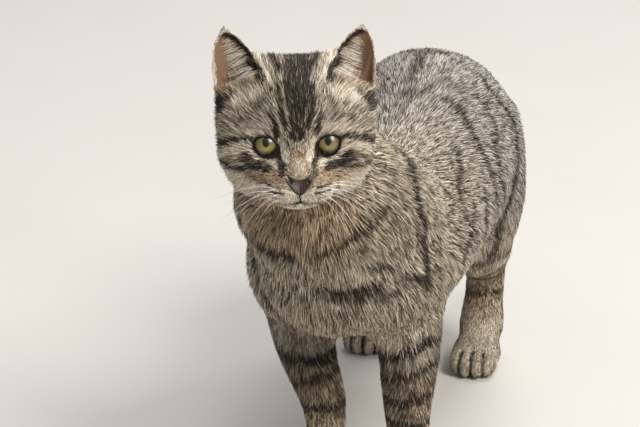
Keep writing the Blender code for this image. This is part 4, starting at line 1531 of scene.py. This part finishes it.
def whisker_material():
    """Whisker: a smooth white horny hair, slightly glossy."""
    material, tree, shader = new_material("white_whisker")
    place = node(tree, "ShaderNodeTexCoord")
    tint = node(tree, "ShaderNodeTexNoise", {"Vector": place.outputs["Object"], "Scale": 60.0})
    colour = mixed(tree, tint.outputs["Fac"], linear("#f4efe6"), linear("#ddd2c2"))
    tree.links.new(colour, shader.inputs["Base Color"])
    shader.inputs["Roughness"].default_value = 0.35
    return material


# Stage

CAMERA_AZIMUTH, CAMERA_ELEVATION, CAMERA_DISTANCE = 12.5, 20.0, 1.8
# The eyes' middle falls on this pixel of a 640 by 427 picture, at this many pixels to a metre
EYES_PIXEL, PIXELS_PER_METRE = (297, 144), 1750
PICTURE = (640, 427)


def camera_axes():
    side, up = math.radians(CAMERA_AZIMUTH), math.radians(CAMERA_ELEVATION)
    back = Vector((math.sin(side) * math.cos(up), -math.cos(side) * math.cos(up), math.sin(up)))
    right = Vector((math.cos(side), math.sin(side), 0))
    return right, back.cross(right), back


def camera_place():
    right, up, back = camera_axes()
    eyes = (EYE_PLACES["left"] + EYE_PLACES["right"]) / 2
    across = (EYES_PIXEL[0] - PICTURE[0] / 2) / PIXELS_PER_METRE
    below = (EYES_PIXEL[1] - PICTURE[1] / 2) / PIXELS_PER_METRE
    return eyes - right * across + up * below + back * CAMERA_DISTANCE


def area_light(name, place, target, size, power, colour):
    light = bpy.data.lights.new(name, "AREA")
    light.size = size
    light.energy = power
    light.color = linear(colour)[:3]
    lamp = bpy.data.objects.new(name, light)
    lamp.location = place
    lamp.rotation_euler = (Vector(target) - Vector(place)).to_track_quat("-Z", "Y").to_euler()
    bpy.context.scene.collection.objects.link(lamp)


FLOOR_RADIUS = 6
LIGHTS_AIM = (0, -0.15, 0.2)
LIGHTS = (
    # name, place, size, share of the main light's power, colour
    ("key", (1.7, -1.2, 2.3), 1.3, 1.0, "#fffbf5"),
    ("top", (0.4, 0.9, 2.6), 1.5, 0.62, "#ffffff"),
)


def build_stage(settings):
    """Sets up a pale matt floor, soft studio light and the camera."""
    scene = bpy.context.scene
    right, up, back = camera_axes()
    camera = bpy.data.cameras.new("camera")
    camera.sensor_fit = "HORIZONTAL"
    camera.sensor_width = 36
    camera.lens = PIXELS_PER_METRE * CAMERA_DISTANCE / PICTURE[0] * 36
    holder = bpy.data.objects.new("camera", camera)
    axes = Matrix((right, up, back)).transposed().to_4x4()
    holder.matrix_world = Matrix.Translation(camera_place()) @ axes
    scene.collection.objects.link(holder)
    scene.camera = holder

    bm = bmesh.new()
    bmesh.ops.create_circle(bm, cap_ends=True, segments=96, radius=FLOOR_RADIUS)
    mesh = bpy.data.meshes.new("floor")
    bm.to_mesh(mesh)
    bm.free()
    floor = bpy.data.objects.new("floor", mesh)
    scene.collection.objects.link(floor)
    material, tree, shader = new_material("matt_paper_floor")
    place = node(tree, "ShaderNodeTexCoord")
    # faint clouds, far broader than the tooth of paper
    tooth = node(tree, "ShaderNodeTexNoise", {"Vector": place.outputs["Object"], "Scale": 6.0})
    tree.links.new(mixed(tree, tooth.outputs["Fac"], settings.floor, linear("#c8c4be")), shader.inputs["Base Color"])
    shader.inputs["Roughness"].default_value = 0.9
    mesh.materials.append(material)

    world = bpy.data.worlds.new("studio")
    scene.world = world
    world.use_nodes = True
    background = world.node_tree.nodes["Background"]
    background.inputs[0].default_value = linear("#e6e8ea")
    background.inputs[1].default_value = settings.fill
    for name, place, size, share, colour in LIGHTS:
        area_light(name, place, LIGHTS_AIM, size, settings.key * share, colour)
    scene.view_settings.view_transform = "Standard"


# The add-on


def colour_property(name, code, text):
    return bpy.props.FloatVectorProperty(
        name=name, description=text, default=linear(code), size=4, min=0, max=1, subtype="COLOR"
    )


def number(name, text, default, low, high, **kind):
    return bpy.props.FloatProperty(name=name, description=text, default=default, min=low, max=high, **kind)


def measure(name, text, default, low, high):
    """A length, given in millimetres."""
    return number(name, text, default * MM, low * MM, high * MM, unit="LENGTH")


class CatCoatSettings(bpy.types.PropertyGroup):
    fullness: number("Fullness", "Share of the coat's tufts that are made", 1.0, 0.05, 1.0, subtype="FACTOR")
    length: number("Length", "Length of the coat against a short-haired cat's", 1.0, 0.3, 2.0, subtype="FACTOR")
    depth: number("Depth", "How far the skin lies inside the solids", 1.0, 0.2, 1.5, subtype="FACTOR")
    ground: colour_property("Ground", "#d8cab2", "Pale bands of the coat between the stripes")
    stripe: colour_property("Stripe", "#15110e", "Dark stripes")
    tan: colour_property("Tan", "#d2b08a", "Warm hair on the throat, nose and legs")
    cream: colour_property("Cream", "#fbf3e6", "Pale hair round the eyes, muzzle and feet")


class CatFaceSettings(bpy.types.PropertyGroup):
    # painted shadow: the iris's colour at its top, darkened by the upper lid's shadow
    iris_in_lid_shadow: colour_property("Iris", "#5f5a34", "Colour of the iris")
    iris_lower: colour_property("Lower iris", "#a3924f", "Colour of the lower part of the iris")
    pupil_width: measure("Pupil width", "Width of the pupil", 4.0, 0.5, 9)
    pupil_height: measure("Pupil height", "Height of the pupil", 5.6, 1, 9)
    rim: measure("Lid rim", "Thickness of the dark rims of the lids", 1.15, 0.4, 3)
    leather: measure("Nose rise", "How far the nose's leather stands off the face", 1.1, 0.2, 3)
    leather_colour: colour_property("Nose", "#4d3029", "Reddish middle of the nose's leather")
    whisker: measure("Whisker", "Thickness of a whisker at its root", 0.36, 0.1, 1)


class CatStageSettings(bpy.types.PropertyGroup):
    floor: colour_property("Floor", "#cfccc7", "Colour of the floor")
    key: number("Key light", "Power of the main soft light", 84.0, 0, 1000, unit="POWER")
    fill: number("Fill", "Strength of the light from all round", 0.45, 0, 10)


class CAT_OT_stage(bpy.types.Operator):
    """Sets up the floor, the lights and the camera"""

    bl_idname = "cat.stage"
    bl_label = "Stage"

    def execute(self, context):
        build_stage(context.scene.cat_stage)
        return {"FINISHED"}


class CAT_OT_skin(bpy.types.Operator):
    """Makes the skin over all the flesh"""

    bl_idname = "cat.skin"
    bl_label = "Skin"

    def execute(self, context):
        build_skin(context.scene.cat_coat)
        return {"FINISHED"}


class CAT_OT_eyes(bpy.types.Operator):
    """Makes the eyeballs"""

    bl_idname = "cat.eyes"
    bl_label = "Eyes"

    def execute(self, context):
        build_eyes(context.scene.cat_face)
        return {"FINISHED"}


class CAT_OT_lids(bpy.types.Operator):
    """Makes the dark rims of the lids"""

    bl_idname = "cat.lids"
    bl_label = "Lid Rims"

    def execute(self, context):
        build_lids(context.scene.cat_face)
        return {"FINISHED"}


class CAT_OT_nose(bpy.types.Operator):
    """Makes the leather of the nose"""

    bl_idname = "cat.nose"
    bl_label = "Nose"

    def execute(self, context):
        build_nose(context.scene.cat_face)
        return {"FINISHED"}


class CAT_OT_whiskers(bpy.types.Operator):
    """Makes the whiskers and the hairs over the eyes"""

    bl_idname = "cat.whiskers"
    bl_label = "Whiskers"

    def execute(self, context):
        build_whiskers(context.scene.cat_face)
        return {"FINISHED"}


class CAT_OT_coat(bpy.types.Operator):
    """Makes the coat's tufts over the skin"""

    bl_idname = "cat.coat"
    bl_label = "Coat"

    def execute(self, context):
        build_coat(context.scene.cat_coat)
        return {"FINISHED"}


STEPS = ("stage", "skin", "eyes", "lids", "nose", "whiskers", "coat")


class CAT_PT_panel(bpy.types.Panel):
    """Lists the cat's pieces and their settings"""

    bl_idname = "CAT_PT_panel"
    bl_label = "Cat"
    bl_space_type = "VIEW_3D"
    bl_region_type = "UI"
    bl_category = "Cat"

    def draw(self, context):
        for step in STEPS:
            self.layout.operator(f"cat.{step}")
        for settings in (context.scene.cat_coat, context.scene.cat_face, context.scene.cat_stage):
            box = self.layout.box()
            for name in settings.__annotations__:
                box.prop(settings, name)


SETTINGS = {"cat_coat": CatCoatSettings, "cat_face": CatFaceSettings, "cat_stage": CatStageSettings}
CLASSES = (
    *SETTINGS.values(),
    CAT_OT_stage,
    CAT_OT_skin,
    CAT_OT_eyes,
    CAT_OT_lids,
    CAT_OT_nose,
    CAT_OT_whiskers,
    CAT_OT_coat,
    CAT_PT_panel,
)


def register():
    for kind in CLASSES:
        bpy.utils.register_class(kind)
    for name, kind in SETTINGS.items():
        setattr(bpy.types.Scene, name, bpy.props.PointerProperty(type=kind))


def unregister():
    for name in SETTINGS:
        delattr(bpy.types.Scene, name)
    for kind in reversed(CLASSES):
        bpy.utils.unregister_class(kind)


def main():
    register()
    for step in STEPS:
        getattr(bpy.ops.cat, step)()


if __name__ == "__main__":
    main()
